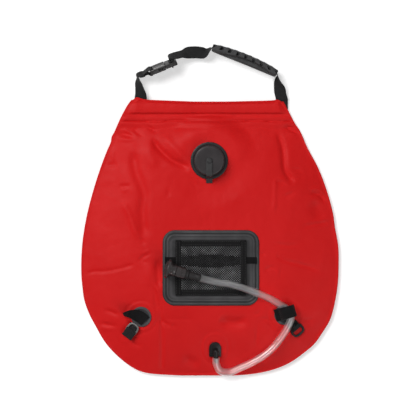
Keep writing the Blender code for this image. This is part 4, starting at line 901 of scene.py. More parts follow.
def cutPortHole(made, radius):
    bm = bmesh.new()
    bm.from_mesh(made.data)
    centre = Vector(layout["port"])
    inside = [v for v in bm.verts if (v.co.xy - centre).length < radius]
    bmesh.ops.delete(bm, geom=inside, context="VERTS")
    for vertex in bm.verts:
        away = vertex.co.xy - centre
        if vertex.is_boundary and away.length < radius + 0.006:
            vertex.co.xy = centre + away.normalized() * radius
    bm.to_mesh(made.data)
    bm.free()


def makeBag():
    rows = skinRows()
    x, y, movedX, movedY = panelPlan(skin["columns"], rows)
    goal = easedTable(skin["topEdge"], np.clip(movedX, -0.1252, 0.1232))
    movedY = movedY + (goal - bag["topY"]) * softStep(0.160, 0.177, y)
    legs = np.maximum(*[np.exp(-(((x - at) / skin["legHalf"]) ** 4)) for at in layout["legs"]])
    z = frontHeight(x, y) + skinRelief(movedX, movedY) + hemRelief(x, y)
    z = z + skin["legRise"] * legs * softStep(0.1745, 0.178, movedY)
    front = gridPiece("bagFront", movedX, movedY, z, "fabric")
    cutPortHole(front, skin["portHole"])
    addWall(front, "film", bag["film"])
    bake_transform(front)
    standsFor(front, "bag_fabric", "front_panel")
    print("bag front:", len(front.data.polygons), "faces")

    rows = rows[::2] if len(rows) % 2 else np.append(rows[::2], rows[-1])
    x, y, movedX, movedY = panelPlan(skin["backColumns"], rows)
    wide, fine = skin["backSlack"]
    slack = wide * wander(movedX, movedY, 22, 5.2) + fine * wander(movedX, movedY, 60, 9.4)
    inner = softStep(0.004, 0.030, halfWidth(y) - np.abs(x))
    z = backHeight(x, y) + np.maximum(0, slack) * inner * softStep(0.150, 0.130, y)
    back = gridPiece("bagBack", movedX[:, ::-1], movedY[:, ::-1], z[:, ::-1], "fabric", "bag")
    addWall(back, "film", bag["film"])
    standsFor(back, "bag_fabric", "back_panel")


makeBag()


# Fill port: flange, threaded neck, screw cap, pin and its tether
port = {
    "bore": 0.0174,
    "neckRadius": 0.0198,
    "flangeRadius": 0.0305,
    "threadPitch": 0.003,
    "threadTurns": 2.0,
    "capRadius": 0.0245,
    "capInner": 0.0217,
    "capLip": 0.0273,
    "capFloor": 0.0388,
    "capCrown": 0.0412,
    "ribs": 36,
    "ribDepth": 0.00045,
    "tetherWidth": 0.0104,
    "tetherThickness": 0.0012,
    "neckRise": 0.0125,
    "threadRise": 0.0115,
    "threadSteps": 48,  # to one turn
}
atPort = Matrix.Translation((*layout["port"], 0))


def makePort():
    base, reach, bore = bag["portZ"], port["flangeRadius"], port["bore"]
    profile = [
        (bore, 0.0003), (bore, 0.0025), (0.0252, 0.0025), (0.0256, 0.0021), (0.0262, 0.0021),
        (0.0266, 0.0025), (reach - 0.0011, 0.0025), (reach - 0.0004, 0.0022), (reach, 0.0015), (reach, 0.0003),
    ]
    flange = spunShape([(radius, base + height) for radius, height in profile], 96, ring=True)
    mouldedPiece("portFlange", flange, atPort, "moulding", "bag", 25, "fill_flange")

    neck, top, steps = port["neckRadius"], base + port["neckRise"], port["threadSteps"]
    profile = [(bore, base + 0.0028), (bore, top - 0.0003), (bore + 0.0003, top)]
    profile += [(neck - 0.0004, top), (neck, top - 0.0004), (neck, base + 0.0028)]
    tube = spunShape(profile, 96, ring=True)
    count = round(port["threadTurns"] * steps)
    section = [(0.0, 0.0007), (0.0008, 0.00055), (0.0011, 0.0002)]
    section += [(out, -height) for out, height in section[::-1]]

    def place(column, row):
        out, height = section[column]
        angle = 2 * math.pi * row / steps
        taper = float(softStep(0, 5, min(row, count - row)))
        radius = neck + 0.0001 + out * max(0.05, taper)
        z = base + port["threadRise"] - port["threadPitch"] * row / steps + height
        return Vector((radius * math.cos(angle), radius * math.sin(angle), z))

    thread = bmesh.new()
    wrapGrid(thread, len(section), count + 1, place, [0] * len(section), [0] * (count + 1))
    bmesh.ops.recalc_face_normals(thread, faces=thread.faces)
    addShape(tube, thread)
    mouldedPiece("portNeck", tube, atPort, "moulding", "bag", 30, "neck_tube", "neck_thread")


def makeCap():
    reach, crown, lip, inner = port["capRadius"], port["capCrown"], port["capLip"], port["capInner"]
    bm = spunShape([
        (0, crown), (0.0100, crown), (0.0185, crown - 0.00005), (reach - 0.0026, crown - 0.0001),
        (reach - 0.0014, crown - 0.0004), (reach - 0.0005, crown - 0.0012),
        (reach - 0.0001, crown - 0.0022), (reach, crown - 0.0031), (reach, lip + 0.0032),
        (reach, lip + 0.0014), (reach, lip + 0.0004), (reach - 0.0004, lip), (inner, lip),
        (inner, port["capFloor"]), (0, port["capFloor"]),
    ], 6 * port["ribs"])
    for vertex in bm.verts:
        radius = vertex.co.xy.length
        if radius > reach - 0.0002 and lip + 0.002 < vertex.co.z < crown - 0.0015:
            angle = math.atan2(vertex.co.y, vertex.co.x) * port["ribs"]
            level = min(1, max(0, (crown - 0.0018 - vertex.co.z) / 0.0015))
            vertex.co.xy *= 1 - port["ribDepth"] * (0.5 - 0.5 * math.cos(angle)) * level / radius
    mouldedPiece("screwCap", bm, atPort, "cap", "cap", 32, "fill_cap")

    under = crown + 0.0018
    bm = spunShape([
        (0, under + 0.0016), (0.0022, under + 0.00155), (0.0036, under + 0.0012),
        (0.0044, under + 0.0006), (0.0045, under + 0.0002), (0.0043, under), (0.0023, under),
        (0.0023, crown + 0.0001), (0, crown + 0.0001),
    ], 32)
    mouldedPiece("capPin", bm, atPort, "rubber", "cap_lifter", 40, "cap_pin")


def makeTether():
    base, thickness, half = bag["portZ"], port["tetherThickness"], port["tetherWidth"] / 2
    x, y = layout["port"]
    level = port["capCrown"] + 0.0003 + thickness / 2 - base
    profile = [
        (-0.0052, level), (0, level), (0.0150, level), (0.0212, level - 0.0001), (0.0243, level - 0.0006),
        (0.0262, level - 0.0034), (0.0275, 0.0085), (0.0287, 0.0048), (0.0317, 0.0035), (0.0338, 0.0020),
        (0.0362, 0.0009),
    ]
    route = [(x, y - run, base + z, 0, 0) for run, z in profile]
    strip = layStrip("capTether", route, 2 * half, thickness, "rubber", step=0.0008)
    # the end beyond the pin is round
    for vertex in strip.data.vertices:
        past = vertex.co.y - y
        if past > 0 and vertex.co.z > base + 0.01:
            vertex.co.x = x + (vertex.co.x - x) * math.sqrt(max(0.0, 1 - (past / half) ** 2))
    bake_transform(strip)
    standsFor(strip, "soft_rubber", "cap_tether")


makePort()
makeCap()
makeTether()
print("fill port done")


# Mesh pocket: welded patch, webbing under the net, bound edges
pocket = {
    "width": 0.1575,
    "height": 0.1229,
    "corner": 0.020,
    "thickness": 0.0012,
    "strapY": -0.0829,
    "strapWidth": 0.0106,
    "netWidth": 0.0970,
    "netHeight": 0.0710,
    "ridges": (0.0030, 0.0084, 0.0132),
    "grooves": (0.0057, 0.0109, 0.0156),
    "netPitch": 0.0027,
    "netCord": 0.00034,
    "netKnot": 0.00068,
    # width of the dark band under the net: painted shade
    "shadedBandWidth": 0.0225,
    "tapeWidth": 0.0088,
    "patchStep": 0.004,
    "patchLift": 0.0014,
    "patchSlack": 0.0006,
    "ridgeRise": 0.0006,
    "ridgeWidth": 0.00110,
    "grooveDrop": 0.0003,
    "grooveWidth": 0.00075,
    "stripStep": 0.003,
    "strapLift": 0.0024,
    "strapThickness": 0.0012,
    "netLift": 0.00365,
    "netSag": 0.0006,
    # side of the net: lift and thickness of its tape
    "tapes": {
        "Left": (0.00355, 0.0035), "Right": (0.00355, 0.0035),
        "Bottom": (0.00355, 0.0035), "Top": (0.0043, 0.0020),
    },
    "stitchPitch": 0.0026,
    "stitchInset": 0.0017,
    "stitchLift": 0.0053,
}


def patchEdge(total):
    # stations across the patch, close together near both edges
    fine = list(np.arange(0, 0.0096, 0.0006))
    count = max(4, round((total - 0.0192) / pocket["patchStep"]))
    inner = list(np.linspace(0.0096, total - 0.0096, count))
    return np.array(fine + inner + [total - a for a in fine[::-1]])


def paintLightAndShade(made, shade):
    # painted light and shade at each point, for the finish to read: below 0.5 darker, above 0.5 lighter
    layer = made.data.attributes.new("paintedLightShade", "FLOAT", "POINT")
    layer.data.foreach_set("value", np.asarray(shade, np.float32).ravel())


def makePocketPatch():
    wide, tall, corner = pocket["width"], pocket["height"], pocket["corner"]
    x, y = np.meshgrid(patchEdge(wide) - wide / 2, (patchEdge(tall) - tall / 2)[::-1])
    overX, overY = np.abs(x) - wide / 2 + corner, np.abs(y) - tall / 2 + corner
    outer = (overX > 0) & (overY > 0)
    excess = np.where(outer, 1 - np.maximum(overX, overY) / np.maximum(np.hypot(overX, overY), 1e-9), 0)
    x = x - np.sign(x) * overX * excess
    y = y - np.sign(y) * overY * excess
    leftX, leftY = np.maximum(overX * (1 - excess), 0), np.maximum(overY * (1 - excess), 0)
    sideGap = np.minimum(wide / 2 - np.abs(x), tall / 2 - np.abs(y))
    inset = np.where(outer, corner - np.hypot(leftX, leftY), sideGap)
    crest = sum(swellAt(inset, a, pocket["ridgeWidth"]) for a in pocket["ridges"])
    groove = sum(swellAt(inset, a, pocket["grooveWidth"]) for a in pocket["grooves"])
    worldX, worldY = x + layout["pocket"][0], y + layout["pocket"][1]
    slack = pocket["patchSlack"] * wander(worldX, worldY, 45, 2.2) * softStep(0.008, 0.014, inset)
    lift = pocket["patchLift"] + pocket["ridgeRise"] * crest - pocket["grooveDrop"] * groove
    lift += np.maximum(slack, 0)
    lift -= 0.0004 * softStep(0.0006, 0, inset)
    patch = gridPiece("pocketPatch", worldX, worldY, frontHeight(worldX, worldY) + lift, "patch", "bag")
    # painted highlights on the ridges, stronger in patches; painted shade in the grooves and under the net
    highlightPatches = 0.5 + 0.5 * wander(worldX, worldY, 25, 6.1)
    netGap = np.maximum(abs(x) - pocket["netWidth"] / 2, abs(y) - pocket["netHeight"] / 2)
    shade = 0.5 + crest * (0.10 + 0.35 * highlightPatches) - 0.5 * groove - softStep(0.0025, -0.0015, netGap)
    paintLightAndShade(patch, np.clip(shade, 0, 1)[::-1])
    addWall(patch, "body", pocket["thickness"] - 0.0003)
    standsFor(patch, "weld_patch", "pocket_patch")


def pocketStrip(name, start, end, lift, width, thickness, material, node, count=14):
    a, b = Vector(start), Vector(end)
    turn = math.degrees(math.atan2(b.y - a.y, b.x - a.x)) + 90
    route = [(*(a + (b - a) * k / count), lift, turn, 0) for k in range(count + 1)]
    made = layStrip(name, settled(route, width), width, thickness, material, pocket["stripStep"], "bag")
    return standsFor(made, "webbing", node)


def makeNet():
    cx, cy = layout["pocket"]
    wide, tall, pitch = pocket["netWidth"], pocket["netHeight"], pocket["netPitch"]
    reach = math.hypot(wide, tall) / 2 + 2 * pitch
    cells = round(2 * reach / pitch)
    bm = bmesh.new()
    bmesh.ops.create_grid(bm, x_segments=cells, y_segments=cells, size=reach)
    slant = Matrix.Rotation(math.radians(45), 3, "Z")
    bmesh.ops.rotate(bm, cent=(0, 0, 0), matrix=slant, verts=bm.verts)
    for out in ((wide / 2, 0, 0), (-wide / 2, 0, 0), (0, tall / 2, 0), (0, -tall / 2, 0)):
        geom = bm.verts[:] + bm.edges[:] + bm.faces[:]
        away = Vector(out).normalized()
        bmesh.ops.bisect_plane(bm, geom=geom, dist=1e-6, plane_co=out, plane_no=away, clear_outer=True)
    bmesh.ops.remove_doubles(bm, verts=bm.verts, dist=0.0002)
    strap = pocket["strapWidth"] / 2
    knots = bmesh.new()
    for vertex in bm.verts:
        x, y = vertex.co.x + cx, vertex.co.y + cy
        sag = pocket["netSag"] * math.sin(x * 190 + 0.6) * math.sin(y * 230)
        over = float(softStep(strap + 0.010, strap, abs(y - pocket["strapY"])))
        vertex.co = onBag(x, y, pocket["netLift"] + max(0.0, sag) + 0.0003 * over)
        # the knots, painted highlights, are left out of the shaded band over the strap
        share = (x - cx) / (wide / 2)
        band = pocket["shadedBandWidth"] / 2 * math.sqrt(max(0.0, 1 - 0.7 * share**2)) - 0.0010
        if len(vertex.link_edges) == 4 and abs(y - pocket["strapY"] + 0.0010) > band:
            turn = Matrix.Translation(vertex.co + up * 0.0001) @ Matrix.Diagonal((1, 1, 0.6, 1))
            bmesh.ops.create_icosphere(knots, subdivisions=1, radius=pocket["netKnot"], matrix=turn)
    standsFor(finishPiece("netKnotGlints", knots, "knots", "bag", 80), "net")
    net = finishPiece("pocketNet", bm, "net", "bag", 80, outward=False)
    cords = net.modifiers.new("cords", "WIREFRAME")
    cords.thickness = pocket["netCord"]
    cords.use_boundary = True
    cords.use_even_offset = False
    standsFor(net, "net", "pocket_mesh")


def makePocket():
    makePocketPatch()
    cx, cy = layout["pocket"]
    half, y, width = pocket["width"] / 2 - 0.004, pocket["strapY"], pocket["strapWidth"]
    strap = pocketStrip(
        "pocketStrap", (cx - half, y), (cx + half, y), pocket["strapLift"], width, pocket["strapThickness"],
        "strap", "pocket_strap", 24,
    )
    # under the net the strap widens into a dark band: painted shade
    for vertex in strap.data.vertices:
        share = (vertex.co.x - cx) / (pocket["netWidth"] / 2 + 0.003)
        if abs(share) < 1:
            swell = (pocket["shadedBandWidth"] / width - 1) * (1 - share**2) ** 0.3
            vertex.co.y += (vertex.co.y - y) * swell - 0.0012 * (1 - share**2)
    makeNet()
    tape = pocket["tapeWidth"]
    wide, tall = pocket["netWidth"] / 2 + 0.0003, pocket["netHeight"] / 2 + 0.0003
    ends = tall + tape + 0.0005
    sides = {"Left": (-1, 0), "Right": (1, 0), "Bottom": (0, -1), "Top": (0, 1)}

    def sideLine(a, b, inset, shortX, shortY):
        # both ends of a line beside the net, on the side that a and b point to
        middle = Vector((cx + a * (wide + inset), cy + b * (tall + inset)))
        span = Vector(((wide - shortX) * abs(b), (ends - shortY) * abs(a)))
        return middle - span, middle + span

    for side, (a, b) in sides.items():
        lift, thickness = pocket["tapes"][side]
        start, end = sideLine(a, b, tape / 2, 0.0003, 0)
        pocketStrip(f"tape{side}", start, end, lift, tape, thickness, "binding", f"tape_{side.lower()}")
    rows = []
    for inset in (pocket["stitchInset"], tape - pocket["stitchInset"]):
        for a, b in sides.values():
            start, end = sideLine(a, b, inset, 0.001, 0.002)
            rows.append([onBag(*(start + (end - start) * k / 16), pocket["stitchLift"]) for k in range(17)])
    sewStitches("pocketStitches", rows, pocket["stitchPitch"])


makePocket()
print("pocket done")


# Outlet: arched plate with its spout, and the barb inside the hose
outletForm = {
    "half": 0.00975,
    "low": -0.01225,
    "high": 0.01225,
    "thickness": 0.002,
    "spoutOffset": 0.0015,
    "spoutLength": 0.013,
    "spoutHeight": 0.0072,
    "spoutRadius": 0.0042,
    "barbRadius": 0.0035,
    "barbRidge": 0.0005,
    "barbRidges": 3,
    "edgeRounding": 0.0005,
    "foot": 0.8,
}


def barbProfile(length):
    # free end at 0, root at length
    thin, ridges = outletForm["barbRadius"], outletForm["barbRidges"]
    out, pitch = thin + outletForm["barbRidge"], length / (ridges + 1)
    profile = [(0, 0), (thin - 0.0004, 0), (thin, 0.0004)]
    for k in range(ridges):
        at = pitch * (k + 1)
        profile += [(out - 0.0001, at - 0.0002), (out, at), (thin + 0.0001, at + 0.00015)]
    return profile + [(thin, length), (0, length)]


def makeOutlet():
    half, low, high = outletForm["half"], outletForm["low"], outletForm["high"]
    turns = [math.pi * k / 28 for k in range(29)]
    outline = [(-half, low), (half, low)]
    outline += [(half * math.cos(turn), high - half + half * math.sin(turn)) for turn in turns]
    bm = raisedShape(outline, 0.0006, outletForm["thickness"], outletForm["edgeRounding"], 2)
    x, length = outletForm["spoutOffset"], outletForm["spoutLength"]
    level, radius = outletForm["spoutHeight"], outletForm["spoutRadius"]
    spout = spunShape([
        (0, 0), (0.0022, 0), (radius, 0.0006), (radius, length - 0.0016),
        (radius - 0.0007, length - 0.0005), (radius - 0.0018, length), (0, length),
    ], 40)
    addShape(bm, spout, onAxis((x, low, level), (0, 1, 0)))
    foot, end = outletForm["foot"] * radius, low + length - 0.0008
    addShape(bm, blockShape((x - foot, low, 0.001), (x + foot, end, level), 0.0008))
    mouldedPiece("outletPlate", bm, outlet, "darkMoulding", "bag", 32, "outlet_base")

    length = hose["barbLength"]
    turn = onAxis(spoutMouth + spoutAhead * (length + 0.0003), -spoutAhead)
    mouldedPiece("outletBarb", spunShape(barbProfile(length), 40), turn, "barb", "bag", 30, "outlet_barb")


# Shower head: along its axis from the hose's end
head = {
    "neckRadius": 0.0062,
    "neckEnd": 0.0210,
    "collarRadius": 0.0078,
    "collarEnd": 0.0253,
    "bodyRadius": 0.0095,
    "bodyEnd": 0.0425,
    "spigotRadius": 0.0068,
    "spigotEnd": 0.0513,
    "bellStart": 0.0428,
    "bellEnd": 0.0574,
    "roseDome": 0.0040,
    "bellRadius": 0.0160,
    "roseRadius": 0.0139,
    "nozzleRings": ((1, 0.0), (6, 0.0044), (12, 0.0082), (18, 0.0117)),
    "ribs": 16,
    "ribDepth": 0.00035,
    "bellCurve": [
        (0, 0), (0.1, 0.008), (0.2, 0.03), (0.34, 0.13), (0.48, 0.28),
        (0.62, 0.48), (0.76, 0.68), (0.87, 0.82), (0.95, 0.93), (1.0, 1.0),
    ],
    "nozzle": [(0, 0), (0.0009, 0), (0.0007, 0.0008), (0.00035, 0.0008), (0.0002, 0.0003), (0, 0.0003)],
}
onHead = onAxis(headJoint, headAxis)


def makeStem():
    neck, ridge = head["neckRadius"], head["neckEnd"]
    profile = [(r, z - 0.010) for r, z in barbProfile(0.0103)[:-1]]
    profile += [(neck - 0.0006, 0.0003), (neck, 0.0009), (neck, 0.0040)]
    for k in range(3):
        at = 0.0048 + 0.0022 * k
        profile += [(neck - 0.0005, at), (neck - 0.0005, at + 0.0008), (neck, at + 0.0011)]
    profile += [(neck, ridge - 0.0010), (neck - 0.0010, ridge), (0, ridge)]
    mouldedPiece("headStem", spunShape(profile, 64), onHead, "moulding", "bag", 30, "head_stem")

    reach, start, end = head["collarRadius"], ridge + 0.0003, head["collarEnd"]
    profile = [(0, start), (reach - 0.0005, start), (reach, start + 0.0005)]
    profile += [(reach, end - 0.0005), (reach - 0.0005, end), (0, end)]
    collar = spunShape(profile, 96)
    for vertex in collar.verts:  # finger ribs
        radius = vertex.co.xy.length
        if radius > reach - 0.0003:
            angle = math.atan2(vertex.co.y, vertex.co.x)
            vertex.co.xy *= 1 - head["ribDepth"] * (0.5 - 0.5 * math.cos(head["ribs"] * angle)) / radius
    mouldedPiece("headCollar", collar, onHead, "moulding", "bag", 40, "head_collar")


def makeHead():
    spigot, spigotEnd = head["spigotRadius"], head["spigotEnd"]
    reach, start, end = head["bodyRadius"], head["collarEnd"] + 0.0003, head["bodyEnd"]
    body = spunShape([
        (0, start), (reach - 0.0018, start), (reach - 0.0006, start + 0.0004), (reach, start + 0.0014),
        (reach, start + 0.0062), (reach - 0.0004, start + 0.0066), (reach - 0.0004, start + 0.0074),
        (reach, start + 0.0078), (reach, end - 0.0010), (reach - 0.0010, end), (spigot, end),
        (spigot, spigotEnd), (0, spigotEnd),
    ], 64)
    mouldedPiece("headBody", body, onHead, "glossy", "bag", 30, "head_body")

    start, end, rim = head["bellStart"], head["bellEnd"], head["bellRadius"]
    throat, flare = end - start - 0.0034, rim - head["bodyRadius"]
    profile = [(0, spigotEnd + 0.0003), (0.0072, spigotEnd + 0.0003), (0.0072, start)]
    profile += [(head["bodyRadius"] + flare * out, start + throat * run) for run, out in head["bellCurve"]]
    profile += [(rim, end - 0.0010), (rim - 0.0003, end - 0.0003), (rim - 0.0009, end)]
    profile += [(rim - 0.0018, end - 0.0002), (rim - 0.0018, end - 0.0020), (0, end - 0.0020)]
    mouldedPiece("headBell", spunShape(profile, 80), onHead, "glossy", "bell", 30, "head_bell")

    low, reach, dome = end - 0.0020 + 0.0003, head["roseRadius"], head["roseDome"]
    edge = low + 0.0012
    profile = [(0, low), (reach - 0.0003, low), (reach - 0.0003, edge)]
    for k in range(1, 10):
        profile.append((reach * (1 - k / 9), edge + dome * math.sin(math.pi / 2 * k / 9) + 0.0003))
    rose = spunShape(profile, 64)
    for count, radius in head["nozzleRings"]:
        rise = dome * math.sqrt(max(0.0, 1 - (radius / reach) ** 2)) * 0.97
        for k in range(count):
            angle = 2 * math.pi * k / count
            place = (radius * math.cos(angle), radius * math.sin(angle), edge + rise)
            addShape(rose, spunShape(head["nozzle"], 10), Matrix.Translation(place))
    mouldedPiece("headRose", rose, onHead, "rubber", "bell", 30, "head_rose")


makeOutlet()
makeStem()
makeHead()
print("outlet and shower head done")


# Welded discs, the straps that hold the hose, and the rings on their tabs
fittings = {
    "discRadius": 0.0165,
    "discThickness": 0.0012,
    "strapWidth": 0.020,
    "strapThickness": 0.0014,
    "rightTurn": 16.0,
    "rightRoot": (-0.0151, -0.0013),
    "rightRoute": [
        (0, 0.0026), (0.0045, 0.0026), (0.0075, 0.0046), (0.0093, 0.0095), (0.0120, 0.0150), (0.0170, 0.0176),
        (0.0240, 0.0182), (0.0300, 0.0166), (0.0328, 0.0118), (0.0336, 0.0052),
    ],
    "leftRoute": [
        (0.0065, -0.0070, 0.0027, 43, 0), (0.0011, -0.0020, 0.0028, 46, 1), (-0.0069, 0.0024, 0.0050, 70, 14),
        (-0.0179, 0.0046, 0.0088, 84, 42), (-0.0294, 0.0049, 0.0112, 88, 72),
    ],
    "tabWidth": 0.0184,
    "tabThickness": 0.0012,
    "wire": 0.00145,
    "discLift": 0.0015,
    "tabStitchPitch": 0.0022,
    "tabGap": 0.0009,
    "tabLayer": 0.0003,
    "tabStitchInset": 0.0025,
    "ringLeg": 0.003,
    # turn, length and how far in the ring's bar lies
    "tabs": {"right": (-50.0, 0.0150, 0.0030), "left": (-126.1, 0.0245, 0.0100)},
    # bar's middle, directions across and of the bow, half width, reach, more wire in the bow, finish
    "rings": {
        # the left ring takes the lighter ring finish: a painted highlight on its arc
        "left": (
            (-0.129365, -0.200248, 0.020876), (0.800581, -0.598328, 0.032765),
            (0.554649, 0.760614, 0.337388), 0.0084, 0.0158, 0.0, "ring",
        ),
        "right": (
            (0.140919, -0.193732, 0.019892), (-0.754997, -0.654182, 0.045003),
            (0.606371, -0.722645, -0.331809), 0.0097, 0.0128, 0.0005, "darkMoulding",
        ),
    },
}


def makeDisc(side):
    cx, cy = layout[side]
    reach = fittings["discRadius"]
    rings = [0, 0.004, 0.008, 0.0110, 0.0122, 0.0128, 0.0134, 0.0140, 0.0146, 0.0152, 0.0158, 0.0162, reach]
    bm = spunShape([(radius, 0) for radius in rings], 72)
    for vertex in bm.verts:
        radius = vertex.co.xy.length
        rim = 0.0004 * swellAt(radius, 0.0134, 0.0006) + 0.0003 * swellAt(radius, 0.0152, 0.0005)
        edge = 0.0005 if radius > reach - 0.0002 else 0
        vertex.co = onBag(cx + vertex.co.x, cy + vertex.co.y, fittings["discLift"] + rim - edge)
    bmesh.ops.recalc_face_normals(bm, faces=bm.faces)
    if sum(face.normal.z for face in bm.faces) < 0:
        bmesh.ops.reverse_faces(bm, faces=bm.faces)
    disc = finishPiece(f"weldDisc_{side}", bm, "patch", "bag", 60, outward=False)
    radius = [math.hypot(v.co.x - cx, v.co.y - cy) for v in disc.data.vertices]
    # a painted highlight on the disc's rim
    paintLightAndShade(disc, 0.55 + 0.25 * softStep(0.0120, 0.0140, radius))
    addWall(disc, "body", fittings["discThickness"] - 0.0001)
    standsFor(disc, "weld_patch", f"round_patch_{side}")


def stepsOut(start, turn, profile):
    # runs and lifts along a direction in plan, made into steps of a strip
    ahead = along(turn)
    spots = [(Vector((*start, 0)) + ahead * run, lift) for run, lift in profile]
    return [(spot.x, spot.y, lift, turn + 90, 0) for spot, lift in spots]


def makeHoseStraps():
    root = Vector(layout["right"]) + Vector(fittings["rightRoot"])
    cx, cy = layout["left"]
    steps = {
        "right": stepsOut(root, fittings["rightTurn"], fittings["rightRoute"]),
        "left": [(x + cx, y + cy, *rest) for x, y, *rest in fittings["leftRoute"]],
    }
    width, thickness = fittings["strapWidth"], fittings["strapThickness"]
    for side, step in steps.items():
        route = settled(step)
        strip = layStrip(f"hoseStrap_{side}", route, width, thickness, "binding", step=0.0012)
        a, b = Vector(route[0][:3]), Vector(route[1][:3])
        onward = (b - a).normalized()
        start, end = tuple(a - onward * 0.0002), tuple(a + onward * 0.0030)
        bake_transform(strip)
        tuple(start)
        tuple(end)
        standsFor(strip, "webbing", f"hose_strap_{side}")


def makeTab(side):
    turn, length, inset = fittings["tabs"][side]
    width, thickness = fittings["tabWidth"], fittings["tabThickness"]
    start, end = fittings["discRadius"] + fittings["tabGap"], fittings["discRadius"] + length
    bar, layer = end - inset, fittings["tabLayer"]
    low = layer + thickness / 2
    bend = (thickness + 0.0006 + 2 * fittings["wire"]) / 2
    profile = [(start, low), (start + 0.004, low), (end - bend, low)]
    for k in range(1, 8):
        angle = math.pi * (k / 8 - 0.5)
        profile.append((end - bend + bend * math.cos(angle), low + bend + bend * math.sin(angle)))
    profile += [(end - bend, low + 2 * bend), (bar - 0.003, low + 2 * bend)]
    stacked = low + thickness + layer
    profile += [((start + bar) / 2, stacked), (start, stacked)]
    route = settled(stepsOut(layout[side], turn, profile))
    tab = layStrip(f"ringTab_{side}", route, width, thickness, "webbing", 0.001, "bag")
    standsFor(tab, "webbing", f"ring_tab_{side}")
    # a sewn box with one diagonal
    ahead, across = along(turn), along(turn + 90)
    near, far, half = start + 0.0015, min(start + 0.0085, bar - 0.0045), width / 2 - fittings["tabStitchInset"]
    corners = [(near, -half), (far, -half), (far, half), (near, half), (near, -half), (far, half)]
    spots = [Vector((*layout[side], 0)) + ahead * run + across * aside for run, aside in corners]
    line = [onBag(spot.x, spot.y, layer + 2 * thickness + 0.0005) for spot in spots]
    sewStitches(f"tabStitches_{side}", [line], fittings["tabStitchPitch"])


def makeRing(side):
    place, across, bow, half, reach, extra, material = fittings["rings"][side]
    across, bow = Vector(across), Vector(bow)
    leg = fittings["ringLeg"]
    points = [(-half + 2 * half * k / 10, 0.0) for k in range(11)]
    for k in range(1, 40):
        c, r = math.cos(math.pi * k / 40), math.sin(math.pi * k / 40)
        points.append((half * math.copysign(abs(c) ** 0.6, c), leg + (reach - leg) * r**0.6))
    spots = [Vector(place) + across * x + bow * y for x, y in points]
    sizes = [fittings["wire"] + extra * float(softStep(0, 0.004, y)) for x, y in points]
    ring = roundBar(
        f"dRing_{side}", spots, sizes, material, f"ring_{side}", 14, ring=True, flat=0.8, face=across.cross(bow)
    )
    standsFor(ring, "black_plastic", f"d_ring_{side}")


makeHoseStraps()
for side in ("left", "right"):
    makeDisc(side)
    makeTab(side)
    makeRing(side)
print("straps, tabs and rings done")


